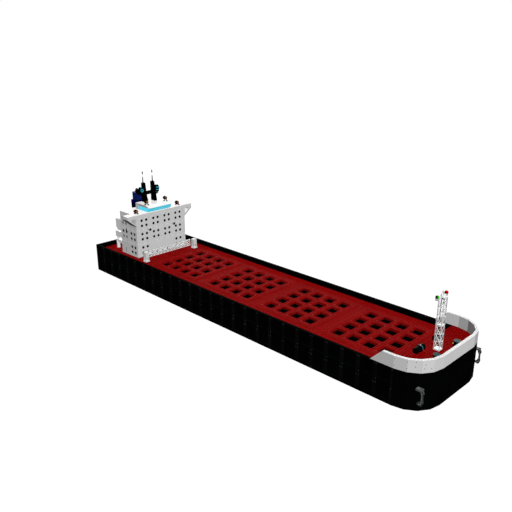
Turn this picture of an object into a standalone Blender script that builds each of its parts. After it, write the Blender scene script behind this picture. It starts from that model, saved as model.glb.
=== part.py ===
# A brick-built toy model of a bulk carrier, flat underneath so that it stands on a table.
# Units inside the helpers are studs (8 mm); every mesh is written in metres.
# +X runs to the bow, +Y to port and +Z up; the origin is under the middle of the hull.
import math

import bmesh
import bpy

# Grid of the toy: one stud, one brick and one plate, in studs
STUD = 0.008
BRICK = 1.2
PLATE = 0.4
GAP = 0.0003 / STUD
HALF_GAP = GAP / 2

# Hull: two courses of recessed panels, with a rounded bow of flat facets
HULL_LENGTH = 166.0
HULL_BEAM = 38.0
COURSE_BRICKS = 5
PANEL_LENGTH = 6.0
PANEL_FRAME = 0.7
PANEL_FOOT = 1.1
PANEL_RECESS = 0.4
PANELS_PER_SIDE = 26
PANELS_ACROSS = 6
PANELS_AHEAD = 3
WALL = 1.0
CORNER_RADIUS = 10.0
CORNER_FACETS = 4
BOW_X = HULL_LENGTH / 2
STERN_X = -HULL_LENGTH / 2
SIDE_Y = HULL_BEAM / 2
CORNER_X = BOW_X - CORNER_RADIUS
CORNER_Y = SIDE_Y - CORNER_RADIUS
COURSE_HEIGHT = COURSE_BRICKS * BRICK
HULL_TOP = 2 * COURSE_HEIGHT

# Decks
FLOOR_TOP = 8 * BRICK
DECK_TOP = FLOOR_TOP + PLATE
GRID_TOP = DECK_TOP + PLATE
FORECASTLE_TOP = HULL_TOP
FORECASTLE_AFT = 71.0

# Hatches: each is a square grid of square openings between raised strips
HATCH_COUNT = 4
HATCH_PITCH = 30.0
FIRST_HATCH_X = -35.0
OPENINGS_PER_SIDE = 4
OPENING_SIZE = 4.0
STRIP_WIDTH = 2.0
HATCH_HALF = (OPENINGS_PER_SIDE * (OPENING_SIZE + STRIP_WIDTH) + STRIP_WIDTH) / 2

# Bulwark round the bow
BULWARK_TOP = HULL_TOP + 4.0
BULWARK_AFT = 65.0
BULWARK_SLOPE = 4.0

# Foremast: two square lattice sections, each wall cut into crosses
FOREMAST_X = 76.0
FOREMAST_HALF = 1.0
FOREMAST_POST = 0.3
FOREMAST_WALL = 0.2
FOREMAST_FOOT = 1.2
FOREMAST_RING = 0.3
FOREMAST_BAR = 0.2
FOREMAST_CROSSES = 3
FOREMAST_SECTION = 7 * BRICK
FOREMAST_MIDDLE = FORECASTLE_TOP + FOREMAST_SECTION
FOREMAST_TOP = FOREMAST_MIDDLE + FOREMAST_SECTION
ARM_X = 75.5
ARM_HALF_WIDTH = 0.45
ARM_REACH = 3.2
ARM_LOW = FOREMAST_TOP - 0.3
ARM_TOP = FOREMAST_TOP + 0.15
SIDE_LAMP_Y = 2.65

# Deck gear on the forecastle
DRUM_X = 73.0
DRUM_Y = 5.55
DRUM_RADIUS = 1.0
DRUM_END_RADIUS = 0.75
DRUM_LENGTH = 4.7
DRUM_RING_RADIUS = 1.15
DRUM_RING_WIDTH = 0.5
DRUM_AXIS_Z = FORECASTLE_TOP + DRUM_RING_RADIUS
CAPSTAN_X = 79.0
CAPSTAN_Y = 6.0
CAPSTAN_RADIUS = 1.2
CAPSTAN_HEIGHT = 1.8
CAPSTAN_EDGE = 0.25

# Anchors: each hangs by a round eye between the ears of a bracket on the bow
ANCHOR_Y = 17.0
ANCHOR_PIVOT_X = 81.2
ANCHOR_PIVOT_Z = 7.6
EYE_RADIUS = 0.4
SHANK_HALF = 0.3
FORK_HALF = 0.65
FORK_CLEARANCE = 0.05
FORK_ROOT_CLEARANCE = 0.2
BRACKET_HALF_HEIGHT = 0.3

# Edge of an anchor below its eye, down the aft side and up the forward side: (forward of, below the pivot)
ANCHOR_EDGE = ((-0.2, 0.8), (0.2, 1.6), (0.2, 2.8), (-0.1, 3.7), (-1.0, 4.3), (-0.8, 4.8),
               (0.4, 4.95), (0.8, 3.9), (0.6, 2.8), (0.6, 1.6), (0.9, 0.8))

# Accommodation
HOUSE_FRONT = -59.0
HOUSE_AFT = -71.0
HOUSE_HALF = 13.0
HOUSE_TOP = 24 * BRICK
HOUSE_WALL_TOP = HOUSE_TOP - BRICK
WING_HALF = 17.0
WING_DEPTH = 4.0
BRACKET_TIP_Z = 27.4
BRACKET_WALL_Z = 24.1
BRACKET_HOLE_TOP = 27.4
BRACKET_HOLE_FOOT = 26.0
BRACKET_HOLE_WIDTH = 1.6
BRACKET_SKIN = 0.2

# Wheelhouse, whose front window leans forward
WHEELHOUSE_HALF = 6.0
WHEELHOUSE_AFT = -69.0
GLASS_AFT = -67.0
GLASS_FOOT = -60.0
GLASS_TOP = HOUSE_TOP + 1.75
ROOF_TOP = GLASS_TOP + 0.95
ROOF_EDGE = 0.15
ROOF_SLOPE = 2.6

# Masts on the wheelhouse: the aft edge is upright and the forward edge leans aft
MAST_Y = 2.5
MAST_HALF = 0.5
MAST_AFT = -68.0
MAST_FOOT = 2.4
MAST_WAIST = 1.6
MAST_TIP = 1.0
MAST_TOP = 40.0
CROSSBAR_LOW = 34.7
CROSSBAR_TOP = CROSSBAR_LOW + BRICK
CROSSBAR_DEPTH = 1.0
ANTENNA_TOP = 45.0
ANTENNA_X = MAST_AFT + MAST_TIP / 2

# Radars: label, side, distance of the turning axis from the centreline, underside of the arm
RADAR_X = -67.0
RADARS = (("starboard", -1, 5.1, 35.1), ("port", 1, 4.25, 34.4))
RADAR_ARM_HALF = 0.4
RADAR_ARM_THICK = 0.4
SPINDLE_RADIUS = 0.3
BARREL_RISE = 1.5
BOSS_SHIFT = 0.8
SENSOR_SHIFT = 0.5
DRUM_BODY_RADIUS = 0.95
DRUM_BAND_RADIUS = 1.05

# Pieces of the starboard radar, as (distance along its axis, radius): barrel along Y, boss along X, sensor along Z
BARREL = ((-1.4, 1.05), (-1.2, 1.05), (-0.7, 0.5), (-0.5, 0.75), (1.5, 0.75), (1.65, 0.5))
BOSS = ((0.2, 0.75), (1.0, 0.75), (1.05, 0.65))
SENSOR = ((0.2, 0.35), (1.0, 0.35), (1.15, 0.45), (1.35, 0.35))

# Funnel and the casing under it
CASING_AFT = -77.0
CASING_HALF = 4.0
CASING_TOP = 27.2
FUNNEL_BAND_TOP = 28.2
FUNNEL_STEP = 31.1
FUNNEL_TOP = 34.6
FUNNEL_FRONT = -72.3
FUNNEL_AFT = -75.7
FUNNEL_HALF = 3.0
FUNNEL_LEDGE = 0.55

# Decks behind the house, from the lowest up
AFT_DECK_HALF = 11.0
LOWER_DECK = (-78.6, 12.6, 13.9)
MIDDLE_DECK = (-78.8, 15.2, 17.9)
UPPER_DECK = (-78.0, 18.6, 23.8)
UPPER_STEP_X = -77.3
UPPER_STEP_Z = 19.6
COLUMN_X = -77.8
COLUMN_Y = 10.5
COLUMN_RADIUS = 0.8
PROP_RADIUS = 0.5

# Rail in front of the house, with a post at each end
POST_X = -53.0
POST_Y = 13.0
POST_HALF = 0.85
POST_FOOT = 1.0
POST_ARCH = 0.4
POST_TOP = 14.2
POST_SOLE = DECK_TOP + 0.4
POST_FRAME = 11.9
RAIL_AFT = -57.7
RAIL_FRONT = -56.8
RAIL_STARBOARD = -12.5
RAIL_PORT = 14.0
RAIL_SOLE = DECK_TOP + 0.4
RAIL_BEAM = 12.4
RAIL_TOP = 12.9
BALUSTER = 0.5

# Lamps: label of the kind, x, distance from the centreline, level that it stands on
LAMPS = (("wing_lamp", -61.5, 11.0, HOUSE_TOP), ("roof_lamp", -63.2, 5.0, ROOF_TOP))
LAMP_AXIS = 1.4
LAMP_SIZE = 1.0
SIDE_LAMP_AXIS = 0.5
SIDE_LAMP_SIZE = 0.72

# A lamp of size 1, as (distance along, radius): its housing from the back to the lens, and its stem's radii
HOUSING = ((-0.65, 0.35), (-0.5, 0.6), (0.1, 0.6), (0.1, 0.5), (0.55, 0.5), (0.7, 0.3))
STEM_FOOT = 0.45
STEM_NECK = 0.2
STEM_STEP = 0.15

SIDES = (("starboard", -1), ("port", 1))

for leftover in list(bpy.data.objects):
    bpy.data.objects.remove(leftover, do_unlink=True)


def plastic(name, colour, roughness=0.25):
    """One smooth moulded plastic, as a Principled BSDF."""
    material = bpy.data.materials.new(name)
    material.use_nodes = True
    shader = material.node_tree.nodes["Principled BSDF"]
    shader.inputs["Base Color"].default_value = (*colour, 1.0)
    shader.inputs["Roughness"].default_value = roughness
    shader.inputs["Metallic"].default_value = 0.0
    return material


BLACK = plastic("black_plastic", (0.01, 0.01, 0.011))
RED = plastic("red_plastic", (0.21, 0.004, 0.004))
WHITE = plastic("white_plastic", (0.8, 0.8, 0.8))
BLUE = plastic("dark_blue_plastic", (0.008, 0.015, 0.09))
CYAN = plastic("clear_blue_plastic", (0.05, 0.55, 0.7))
GREY = plastic("dark_grey_plastic", (0.08, 0.085, 0.09))
GREEN = plastic("clear_green_plastic", (0.0, 0.5, 0.02))
RED_LAMP = plastic("clear_red_plastic", (0.7, 0.0, 0.0))
ORANGE = plastic("clear_orange_plastic", (0.8, 0.25, 0.02))


def finish(name, shape, material, smooth=False):
    """Turn a bmesh in studs into a named object in metres."""
    bmesh.ops.scale(shape, vec=(STUD, STUD, STUD), verts=shape.verts)
    bmesh.ops.recalc_face_normals(shape, faces=shape.faces)
    mesh = bpy.data.meshes.new(name)
    shape.to_mesh(mesh)
    shape.free()
    if smooth:
        mesh.shade_smooth()
        mesh.set_sharp_from_angle(angle=math.radians(30))
    mesh.materials.append(material)
    piece = bpy.data.objects.new(name, mesh)
    bpy.context.scene.collection.objects.link(piece)
    return piece


def shaped(piece, operation, *tools):
    """Join other shapes to a piece, or cut them out of it."""
    for tool in tools:
        tool.hide_render = True
        tool.display_type = "WIRE"
        step = piece.modifiers.new(tool.name, "BOOLEAN")
        step.operation = operation
        step.solver = "EXACT"
        step.object = tool
    return piece


def inset(low, high):
    """The two planes of a brick between two grid lines, with half the gap taken off each."""
    return [low + HALF_GAP, high - HALF_GAP]


def planes(values):
    """Grid lines with half the gap taken off the first and the last."""
    return [values[0] + HALF_GAP, *values[1:-1], values[-1] - HALF_GAP]


def storey(low, high):
    """Heights of a piece: it stands on its lower plane and stays a gap under its upper one."""
    return [low, high - GAP]


def mirrored(values):
    """Grid lines of one side and their mirror images, in rising order."""
    return sorted([-value for value in values] + list(values))


def cells(name, xs, ys, zs, solid, material):
    """A closed skin round the solid cells of a grid with planes xs, ys and zs."""
    shape = bmesh.new()
    corners = {}

    def corner(i, j, k):
        if (i, j, k) not in corners:
            corners[(i, j, k)] = shape.verts.new((xs[i], ys[j], zs[k]))
        return corners[(i, j, k)]

    def filled(i, j, k):
        inside = 0 <= i < len(xs) - 1 and 0 <= j < len(ys) - 1 and 0 <= k < len(zs) - 1
        return inside and solid(i, j, k)

    for i in range(len(xs) - 1):
        for j in range(len(ys) - 1):
            for k in range(len(zs) - 1):
                if not filled(i, j, k):
                    continue
                for step in (0, 1):
                    if not filled(i + 2 * step - 1, j, k):
                        a = i + step
                        shape.faces.new([corner(a, j, k), corner(a, j + 1, k),
                                         corner(a, j + 1, k + 1), corner(a, j, k + 1)])
                    if not filled(i, j + 2 * step - 1, k):
                        b = j + step
                        shape.faces.new([corner(i, b, k), corner(i + 1, b, k),
                                         corner(i + 1, b, k + 1), corner(i, b, k + 1)])
                    if not filled(i, j, k + 2 * step - 1):
                        c = k + step
                        shape.faces.new([corner(i, j, c), corner(i + 1, j, c),
                                         corner(i + 1, j + 1, c), corner(i, j + 1, c)])
    return finish(name, shape, material)


def always(i, j, k):
    return True


def brick(name, x, y, z, material):
    """One rectangular block between grid lines, given as pairs."""
    return cells(name, inset(*x), inset(*y), storey(*z), always, material)


PUSH = {
    "x": lambda a, b, along: (along, a, b),
    "y": lambda a, b, along: (a, along, b),
    "z": lambda a, b, along: (a, b, along),
}


def push(shape, outline, low, high, axis):
    """Add an outline pushed from low to high along one axis."""
    place = PUSH[axis]
    bottom = [shape.verts.new(place(a, b, low)) for a, b in outline]
    top = [shape.verts.new(place(a, b, high)) for a, b in outline]
    shape.faces.new(bottom)
    shape.faces.new(top)
    count = len(outline)
    for n in range(count):
        m = (n + 1) % count
        shape.faces.new([bottom[n], bottom[m], top[m], top[n]])


def prism(name, outline, low, high, material, axis="z"):
    """A piece made of one outline pushed along one axis."""
    shape = bmesh.new()
    push(shape, outline, low, high, axis)
    return finish(name, shape, material)


def ring_prism(name, outer, inner, low, high, material, axis):
    """A frame between two outlines with the same number of corners, pushed along one axis."""
    shape = bmesh.new()
    place = PUSH[axis]
    loops = [[shape.verts.new(place(a, b, level)) for a, b in line]
             for line in (outer, inner) for level in (low, high)]
    outer_low, outer_high, inner_low, inner_high = loops
    count = len(outer)
    for n in range(count):
        m = (n + 1) % count
        for first, second in ((outer_low, inner_low), (outer_high, inner_high),
                              (outer_low, outer_high), (inner_low, inner_high)):
            shape.faces.new([first[n], first[m], second[m], second[n]])
    return finish(name, shape, material)


def stacked(name, sections, material):
    """A skin over rectangles: rows are (z, aft x, forward x, half width)."""
    shape = bmesh.new()
    rings = []
    for z, aft, front, half in sections:
        outline = [(aft, -half), (front, -half), (front, half), (aft, half)]
        rings.append([shape.verts.new((x, y, z)) for x, y in outline])
    for first, second in zip(rings, rings[1:]):
        for n in range(4):
            m = (n + 1) % 4
            shape.faces.new([first[n], first[m], second[m], second[n]])
    shape.faces.new(rings[0])
    shape.faces.new(rings[-1])
    return finish(name, shape, material)


def turned(name, centre, axis, profile, sides, material):
    """A turned piece: profile rows are (distance along the axis, radius), closed at its ends."""
    shape = bmesh.new()
    place = {
        "x": lambda along, u, v: (centre[0] + along, centre[1] + u, centre[2] + v),
        "y": lambda along, u, v: (centre[0] + u, centre[1] + along, centre[2] + v),
        "z": lambda along, u, v: (centre[0] + u, centre[1] + v, centre[2] + along),
    }[axis]
    rings = []
    for along, radius in profile:
        ring = []
        for n in range(sides):
            angle = 2 * math.pi * (n + 0.5) / sides
            ring.append(shape.verts.new(place(along, radius * math.cos(angle), radius * math.sin(angle))))
        rings.append(ring)
    for first, second in zip(rings, rings[1:]):
        for n in range(sides):
            m = (n + 1) % sides
            shape.faces.new([first[n], first[m], second[m], second[n]])
    shape.faces.new(rings[0])
    shape.faces.new(rings[-1])
    return finish(name, shape, material, smooth=True)


def arc(centre_x, centre_y, radius, start_degrees, end_degrees, facets):
    """Corners of a faceted arc."""
    points = []
    for n in range(facets + 1):
        angle = math.radians(start_degrees + (end_degrees - start_degrees) * n / facets)
        points.append((centre_x + radius * math.cos(angle), centre_y + radius * math.sin(angle)))
    return points


def bow_line(inset_by):
    """Plan of the bow from starboard to port, set in from the hull's outer face."""
    radius = CORNER_RADIUS - inset_by
    line = arc(CORNER_X, -CORNER_Y, radius, -90, 0, CORNER_FACETS)
    line += arc(CORNER_X, CORNER_Y, radius, 0, 90, CORNER_FACETS)
    return [(max(x, CORNER_X + HALF_GAP), y) for x, y in line]


def bow_band(name, low, high, material):
    """A wall round the bow: a quarter circle of flat facets, a flat front and another quarter."""
    outline = bow_line(HALF_GAP) + bow_line(WALL - HALF_GAP)[::-1]
    return prism(name, outline, low, high - GAP, material)


def bow_recesses(name, low, high):
    """Blocks that cut the panels' recesses into the flat front of the bow."""
    shape = bmesh.new()
    for n in range(PANELS_AHEAD):
        seam = (n - PANELS_AHEAD / 2) * PANEL_LENGTH
        left = seam + PANEL_FRAME
        right = seam + PANEL_LENGTH - PANEL_FRAME
        push(shape, [(left, low), (right, low), (right, high), (left, high)],
             BOW_X - PANEL_RECESS, BOW_X + WALL, "x")
    return finish(name, shape, BLACK)


def panel_lines(start, count):
    """Grid lines along a row of wall panels: each has a frame at both of its ends."""
    lines = []
    for n in range(count):
        seam = start + n * PANEL_LENGTH
        lines += [seam, seam + PANEL_FRAME, seam + PANEL_LENGTH - PANEL_FRAME]
    return lines + [start + count * PANEL_LENGTH]


def hull_course(level, low):
    """One course of the hull: two sides, a stern and a bow."""
    high = low + COURSE_HEIGHT
    heights = [low, low + PANEL_FOOT, high - PANEL_FRAME, high - GAP]
    along = planes(panel_lines(CORNER_X - PANELS_PER_SIDE * PANEL_LENGTH, PANELS_PER_SIDE))
    for label, side in SIDES:
        skin = sorted([side * (SIDE_Y - HALF_GAP), side * (SIDE_Y - PANEL_RECESS),
                       side * (SIDE_Y - WALL + HALF_GAP)])
        outer_cell = 0 if side < 0 else 1

        def side_wall(i, j, k, outer_cell=outer_cell):
            recess = i % 3 == 1 and k == 1
            return not (recess and j == outer_cell)

        cells(f"hull_{label}_{level}", along, skin, heights, side_wall, BLACK)

    across = planes(panel_lines(-PANELS_ACROSS * PANEL_LENGTH / 2, PANELS_ACROSS))
    stern_skin = [STERN_X + HALF_GAP, STERN_X + PANEL_RECESS, STERN_X + WALL - HALF_GAP]

    def stern_wall(i, j, k):
        recess = j % 3 == 1 and k == 1
        return not (recess and i == 0)

    cells(f"hull_stern_{level}", stern_skin, across, heights, stern_wall, BLACK)
    bow = bow_band(f"hull_bow_{level}", low, high, BLACK)
    shaped(bow, "DIFFERENCE", bow_recesses(f"bow_recesses_{level}", low + PANEL_FOOT, high - PANEL_FRAME))


def deck_outline(aft):
    """Plan of a deck inside the hull walls, from an aft line to the rounded bow."""
    inner = CORNER_RADIUS - WALL - HALF_GAP
    side = SIDE_Y - WALL - HALF_GAP
    line = [(aft + HALF_GAP, -side)]
    line += arc(CORNER_X, -CORNER_Y, inner, -90, 0, CORNER_FACETS)
    line += arc(CORNER_X, CORNER_Y, inner, 0, 90, CORNER_FACETS)
    line.append((aft + HALF_GAP, side))
    return line


def build_hull():
    inside_aft = STERN_X + WALL
    prism("hull_bottom", deck_outline(inside_aft), 0.0, PLATE, BLACK)
    hull_course("lower", 0.0)
    hull_course("upper", COURSE_HEIGHT)
    prism("hold_floor", deck_outline(inside_aft), FLOOR_TOP - PLATE, FLOOR_TOP - GAP, BLACK)


def build_decks():
    hatch_edges = []
    for n in range(HATCH_COUNT):
        middle = FIRST_HATCH_X + n * HATCH_PITCH
        hatch_edges += [middle - HATCH_HALF, middle + HATCH_HALF]
    xs = planes([STERN_X + WALL] + hatch_edges + [FORECASTLE_AFT])
    ys = planes([-(SIDE_Y - WALL), -HATCH_HALF, HATCH_HALF, SIDE_Y - WALL])

    def deck(i, j, k):
        return not (i % 2 == 1 and j == 1)

    cells("main_deck", xs, ys, storey(FLOOR_TOP, DECK_TOP), deck, RED)
    prism("forecastle_deck", deck_outline(FORECASTLE_AFT), FLOOR_TOP, FORECASTLE_TOP - GAP, RED)

    lines = [-HATCH_HALF]
    for _ in range(OPENINGS_PER_SIDE):
        lines.append(lines[-1] + STRIP_WIDTH)
        lines.append(lines[-1] + OPENING_SIZE)
    lines[0] += GAP
    lines.append(HATCH_HALF - GAP)

    def grid(i, j, k):
        return not (i % 2 == 1 and j % 2 == 1)

    for n in range(HATCH_COUNT):
        middle = FIRST_HATCH_X + n * HATCH_PITCH
        cells(f"hatch_grid_{n + 1}", [middle + line for line in lines], lines,
              storey(FLOOR_TOP, GRID_TOP), grid, RED)


def build_bulwark():
    top = BULWARK_TOP - GAP
    side_line = [(BULWARK_AFT, HULL_TOP), (CORNER_X - HALF_GAP, HULL_TOP),
                 (CORNER_X - HALF_GAP, top), (BULWARK_AFT + BULWARK_SLOPE, top)]
    for label, side in SIDES:
        depth = sorted([side * (SIDE_Y - HALF_GAP), side * (SIDE_Y - WALL + HALF_GAP)])
        prism(f"bulwark_side_{label}", side_line, *depth, WHITE, axis="y")
    bow_band("bulwark_bow", HULL_TOP, BULWARK_TOP, WHITE)


def cross_cutter(name, low, high, centre, axis, depth):
    """Prisms that cut a pair of mast walls into crosses: four triangles for each cross."""
    shape = bmesh.new()
    clear = FOREMAST_HALF - FOREMAST_POST
    pitch = (high - low - FOREMAST_FOOT) / FOREMAST_CROSSES
    height = pitch - FOREMAST_RING
    slant = math.hypot(2 * clear, height)
    across = FOREMAST_BAR / 2 * slant / height
    along = FOREMAST_BAR / 2 * slant / (2 * clear)
    for n in range(FOREMAST_CROSSES):
        bottom = low + FOREMAST_FOOT + n * pitch
        middle = bottom + height / 2
        top = bottom + height
        for side in (-1, 1):
            tip = middle + side * along
            end = middle + side * height / 2
            push(shape, [(centre + across - clear, end), (centre + clear - across, end), (centre, tip)],
                 *depth, axis)
            edge = centre + side * clear
            push(shape, [(edge, bottom + along), (edge, top - along), (centre + side * across, middle)],
                 *depth, axis)
    return finish(name, shape, WHITE)


def lattice_section(name, low, high):
    """One mast section: a square tube with crosses in its four walls."""
    squares = []
    for half in (FOREMAST_HALF, FOREMAST_HALF - FOREMAST_WALL):
        squares.append([(FOREMAST_X + a * half, b * half) for a, b in ((-1, -1), (1, -1), (1, 1), (-1, 1))])
    tube = ring_prism(name, *squares, low, high, WHITE, axis="z")
    reach = 2 * FOREMAST_HALF
    ahead = cross_cutter(f"{name}_cut_ahead", low, high, 0.0, "x", (FOREMAST_X - reach, FOREMAST_X + reach))
    abeam = cross_cutter(f"{name}_cut_abeam", low, high, FOREMAST_X, "y", (-reach, reach))
    shaped(tube, "DIFFERENCE", ahead, abeam)


def searchlight(name, x, y, level, axis_height, size, material):
    """A lamp on a stem: a round housing along X, its lens towards the bow."""
    housing = [(along * size, radius * size) for along, radius in HOUSING]
    lamp = turned(name, (x, y, level + axis_height), "x", housing, 12, material)
    foot = STEM_FOOT * size
    neck = STEM_NECK * size
    step = STEM_STEP * size
    stem = turned(f"{name}_stem", (x, y, level), "z",
                  ((0.0, foot), (step, foot), (step, neck), (axis_height, neck)), 10, material)
    shaped(lamp, "UNION", stem)


def build_foremast():
    lattice_section("foremast_lower", FORECASTLE_TOP, FOREMAST_MIDDLE - GAP)
    lattice_section("foremast_upper", FOREMAST_MIDDLE, FOREMAST_TOP - GAP)
    clear = FOREMAST_HALF + GAP
    xs = [FOREMAST_X - FOREMAST_HALF, ARM_X - ARM_HALF_WIDTH, ARM_X + ARM_HALF_WIDTH,
          FOREMAST_X + FOREMAST_HALF]
    ys = mirrored((clear, ARM_REACH))
    zs = [ARM_LOW, FOREMAST_TOP, ARM_TOP, FOREMAST_TOP + PLATE]

    def head(i, j, k):
        if j == 1:
            return k > 0
        return i == 1 and k < 2

    cells("foremast_head", xs, ys, zs, head, WHITE)
    for label, side, material in (("starboard", -1, GREEN), ("port", 1, RED_LAMP)):
        searchlight(f"foremast_lamp_{label}", ARM_X, side * SIDE_LAMP_Y, ARM_TOP + GAP,
                    SIDE_LAMP_AXIS, SIDE_LAMP_SIZE, material)


def build_deck_gear():
    half = DRUM_LENGTH / 2
    ring = DRUM_RING_WIDTH / 2
    edge = DRUM_RADIUS - DRUM_END_RADIUS
    drum = ((-half, DRUM_END_RADIUS), (edge - half, DRUM_RADIUS), (-ring, DRUM_RADIUS),
            (-ring, DRUM_RING_RADIUS), (ring, DRUM_RING_RADIUS), (ring, DRUM_RADIUS),
            (half - edge, DRUM_RADIUS), (half, DRUM_END_RADIUS))
    capstan = ((0.0, CAPSTAN_RADIUS), (CAPSTAN_HEIGHT - CAPSTAN_EDGE, CAPSTAN_RADIUS),
               (CAPSTAN_HEIGHT, CAPSTAN_RADIUS - CAPSTAN_EDGE))
    for label, side in SIDES:
        turned(f"windlass_drum_{label}", (DRUM_X, side * DRUM_Y, DRUM_AXIS_Z), "y", drum, 16, BLACK)
        turned(f"capstan_{label}", (CAPSTAN_X, side * CAPSTAN_Y, FORECASTLE_TOP), "z", capstan, 16, BLACK)


def bow_surface_x(y):
    """How far forward the faceted hull corner reaches at a distance from the centreline."""
    line = arc(CORNER_X, CORNER_Y, CORNER_RADIUS, 0, 90, CORNER_FACETS)
    for (x0, y0), (x1, y1) in zip(line, line[1:]):
        if y0 <= y <= y1:
            return x0 + (x1 - x0) * (y - y0) / (y1 - y0)
    return BOW_X


def anchor_outline():
    """Side view of an anchor: a round eye, a straight shank and a hook that bends aft."""
    line = arc(ANCHOR_PIVOT_X, ANCHOR_PIVOT_Z, EYE_RADIUS, 0, 180, 6)
    line += [(ANCHOR_PIVOT_X + ahead, ANCHOR_PIVOT_Z - below) for ahead, below in ANCHOR_EDGE]
    return line


def build_anchors():
    root = bow_surface_x(ANCHOR_Y - FORK_HALF) + GAP
    xs = [root, ANCHOR_PIVOT_X - EYE_RADIUS - FORK_ROOT_CLEARANCE, ANCHOR_PIVOT_X + EYE_RADIUS]
    zs = [ANCHOR_PIVOT_Z - BRACKET_HALF_HEIGHT, ANCHOR_PIVOT_Z + BRACKET_HALF_HEIGHT]
    slot = SHANK_HALF + FORK_CLEARANCE

    def fork(i, j, k):
        return i == 0 or j != 1

    for label, side in SIDES:
        y = side * ANCHOR_Y
        ys = [y - FORK_HALF, y - slot, y + slot, y + FORK_HALF]
        cells(f"anchor_bracket_{label}", xs, ys, zs, fork, GREY)
        prism(f"anchor_{label}", anchor_outline(), y - SHANK_HALF, y + SHANK_HALF, GREY, axis="y")


def build_house():
    height = (DECK_TOP, HOUSE_WALL_TOP)
    across = (-HOUSE_HALF, HOUSE_HALF)
    brick("house_front_wall", (HOUSE_FRONT - WALL, HOUSE_FRONT), across, height, WHITE)
    brick("house_aft_wall", (HOUSE_AFT, HOUSE_AFT + WALL), across, height, WHITE)
    for label, side in SIDES:
        y = sorted([side * HOUSE_HALF, side * (HOUSE_HALF - WALL)])
        brick(f"house_{label}_wall", (HOUSE_AFT + WALL, HOUSE_FRONT - WALL), y, height, WHITE)

    xs = planes([HOUSE_AFT, HOUSE_FRONT - WING_DEPTH, HOUSE_FRONT])
    ys = planes([-WING_HALF, -HOUSE_HALF, HOUSE_HALF, WING_HALF])

    def deck(i, j, k):
        return j == 1 or i == 1

    cells("bridge_deck", xs, ys, storey(HOUSE_WALL_TOP, HOUSE_TOP), deck, WHITE)

    top = HOUSE_WALL_TOP - GAP
    wall = HOUSE_HALF + GAP
    tip = WING_HALF - HALF_GAP
    outer = [(wall, top), (tip, top), (tip, BRACKET_TIP_Z), (wall, BRACKET_WALL_Z)]
    hole = wall + BRACKET_SKIN
    inner = [(hole, BRACKET_HOLE_TOP), (hole + BRACKET_HOLE_WIDTH, BRACKET_HOLE_TOP),
             (hole + BRACKET_HOLE_WIDTH, BRACKET_HOLE_TOP - BRACKET_SKIN), (hole, BRACKET_HOLE_FOOT)]
    for label, side in SIDES:
        ring_prism(f"wing_bracket_{label}", [(side * y, z) for y, z in outer],
                   [(side * y, z) for y, z in inner], HOUSE_FRONT - WING_DEPTH + HALF_GAP,
                   HOUSE_FRONT - HALF_GAP, WHITE, axis="x")


def build_wheelhouse():
    half = WHEELHOUSE_HALF - HALF_GAP
    top = GLASS_TOP - GAP
    aft = GLASS_AFT + HALF_GAP
    glass = prism("wheelhouse_glass", [(aft, HOUSE_TOP), (GLASS_FOOT, HOUSE_TOP), (HOUSE_FRONT - HALF_GAP, top),
                                       (aft, top)], -half, half, CYAN, axis="y")
    lean = (HOUSE_FRONT - GLASS_FOOT) / (top - HOUSE_TOP)
    past = 1.0
    inside = prism("wheelhouse_inside", [(aft - past, HOUSE_TOP - past),
                                         (GLASS_FOOT - WALL - past * lean, HOUSE_TOP - past),
                                         (HOUSE_FRONT - WALL + past * lean, top + past),
                                         (aft - past, top + past)], WALL - half, half - WALL, CYAN, axis="y")
    shaped(glass, "DIFFERENCE", inside)

    def aft_wall(i, j, k):
        return i == 0 or j != 1

    cells("wheelhouse_wall", planes([WHEELHOUSE_AFT, WHEELHOUSE_AFT + WALL, GLASS_AFT]),
          [-half, WALL - half, half - WALL, half], storey(HOUSE_TOP, GLASS_TOP), aft_wall, WHITE)
    roof_aft = WHEELHOUSE_AFT + HALF_GAP
    roof_front = HOUSE_FRONT - HALF_GAP
    roof = [(roof_aft, GLASS_TOP), (roof_front, GLASS_TOP), (roof_front, GLASS_TOP + ROOF_EDGE),
            (HOUSE_FRONT - ROOF_SLOPE, ROOF_TOP - GAP), (roof_aft, ROOF_TOP - GAP)]
    prism("wheelhouse_roof", roof, -half, half, WHITE, axis="y")


def build_masts():
    line = [(MAST_AFT, ROOF_TOP), (MAST_AFT + MAST_FOOT, ROOF_TOP), (MAST_AFT + MAST_WAIST, CROSSBAR_TOP),
            (MAST_AFT + MAST_TIP, MAST_TOP - GAP), (MAST_AFT, MAST_TOP - GAP)]
    antenna = ((0.0, 0.4), (0.4, 0.4), (0.6, 0.2), (ANTENNA_TOP - MAST_TOP, 0.12))
    masts = brick("masts", (MAST_AFT, MAST_AFT + CROSSBAR_DEPTH), (-MAST_Y, MAST_Y),
                  (CROSSBAR_LOW, CROSSBAR_TOP), BLACK)
    for label, side, radar_y, arm_low in RADARS:
        y = side * MAST_Y
        mast = prism(f"mast_{label}", line, y - MAST_HALF, y + MAST_HALF, BLACK, axis="y")
        reach = sorted([y, side * (radar_y + RADAR_ARM_HALF)])
        arm = brick(f"mast_arm_{label}", (RADAR_X - RADAR_ARM_HALF, RADAR_X + RADAR_ARM_HALF), reach,
                    (arm_low, arm_low + RADAR_ARM_THICK), BLACK)
        shaped(masts, "UNION", mast, arm)
        turned(f"antenna_{label}", (ANTENNA_X, y, MAST_TOP), "z", antenna, 10, BLACK)


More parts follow.
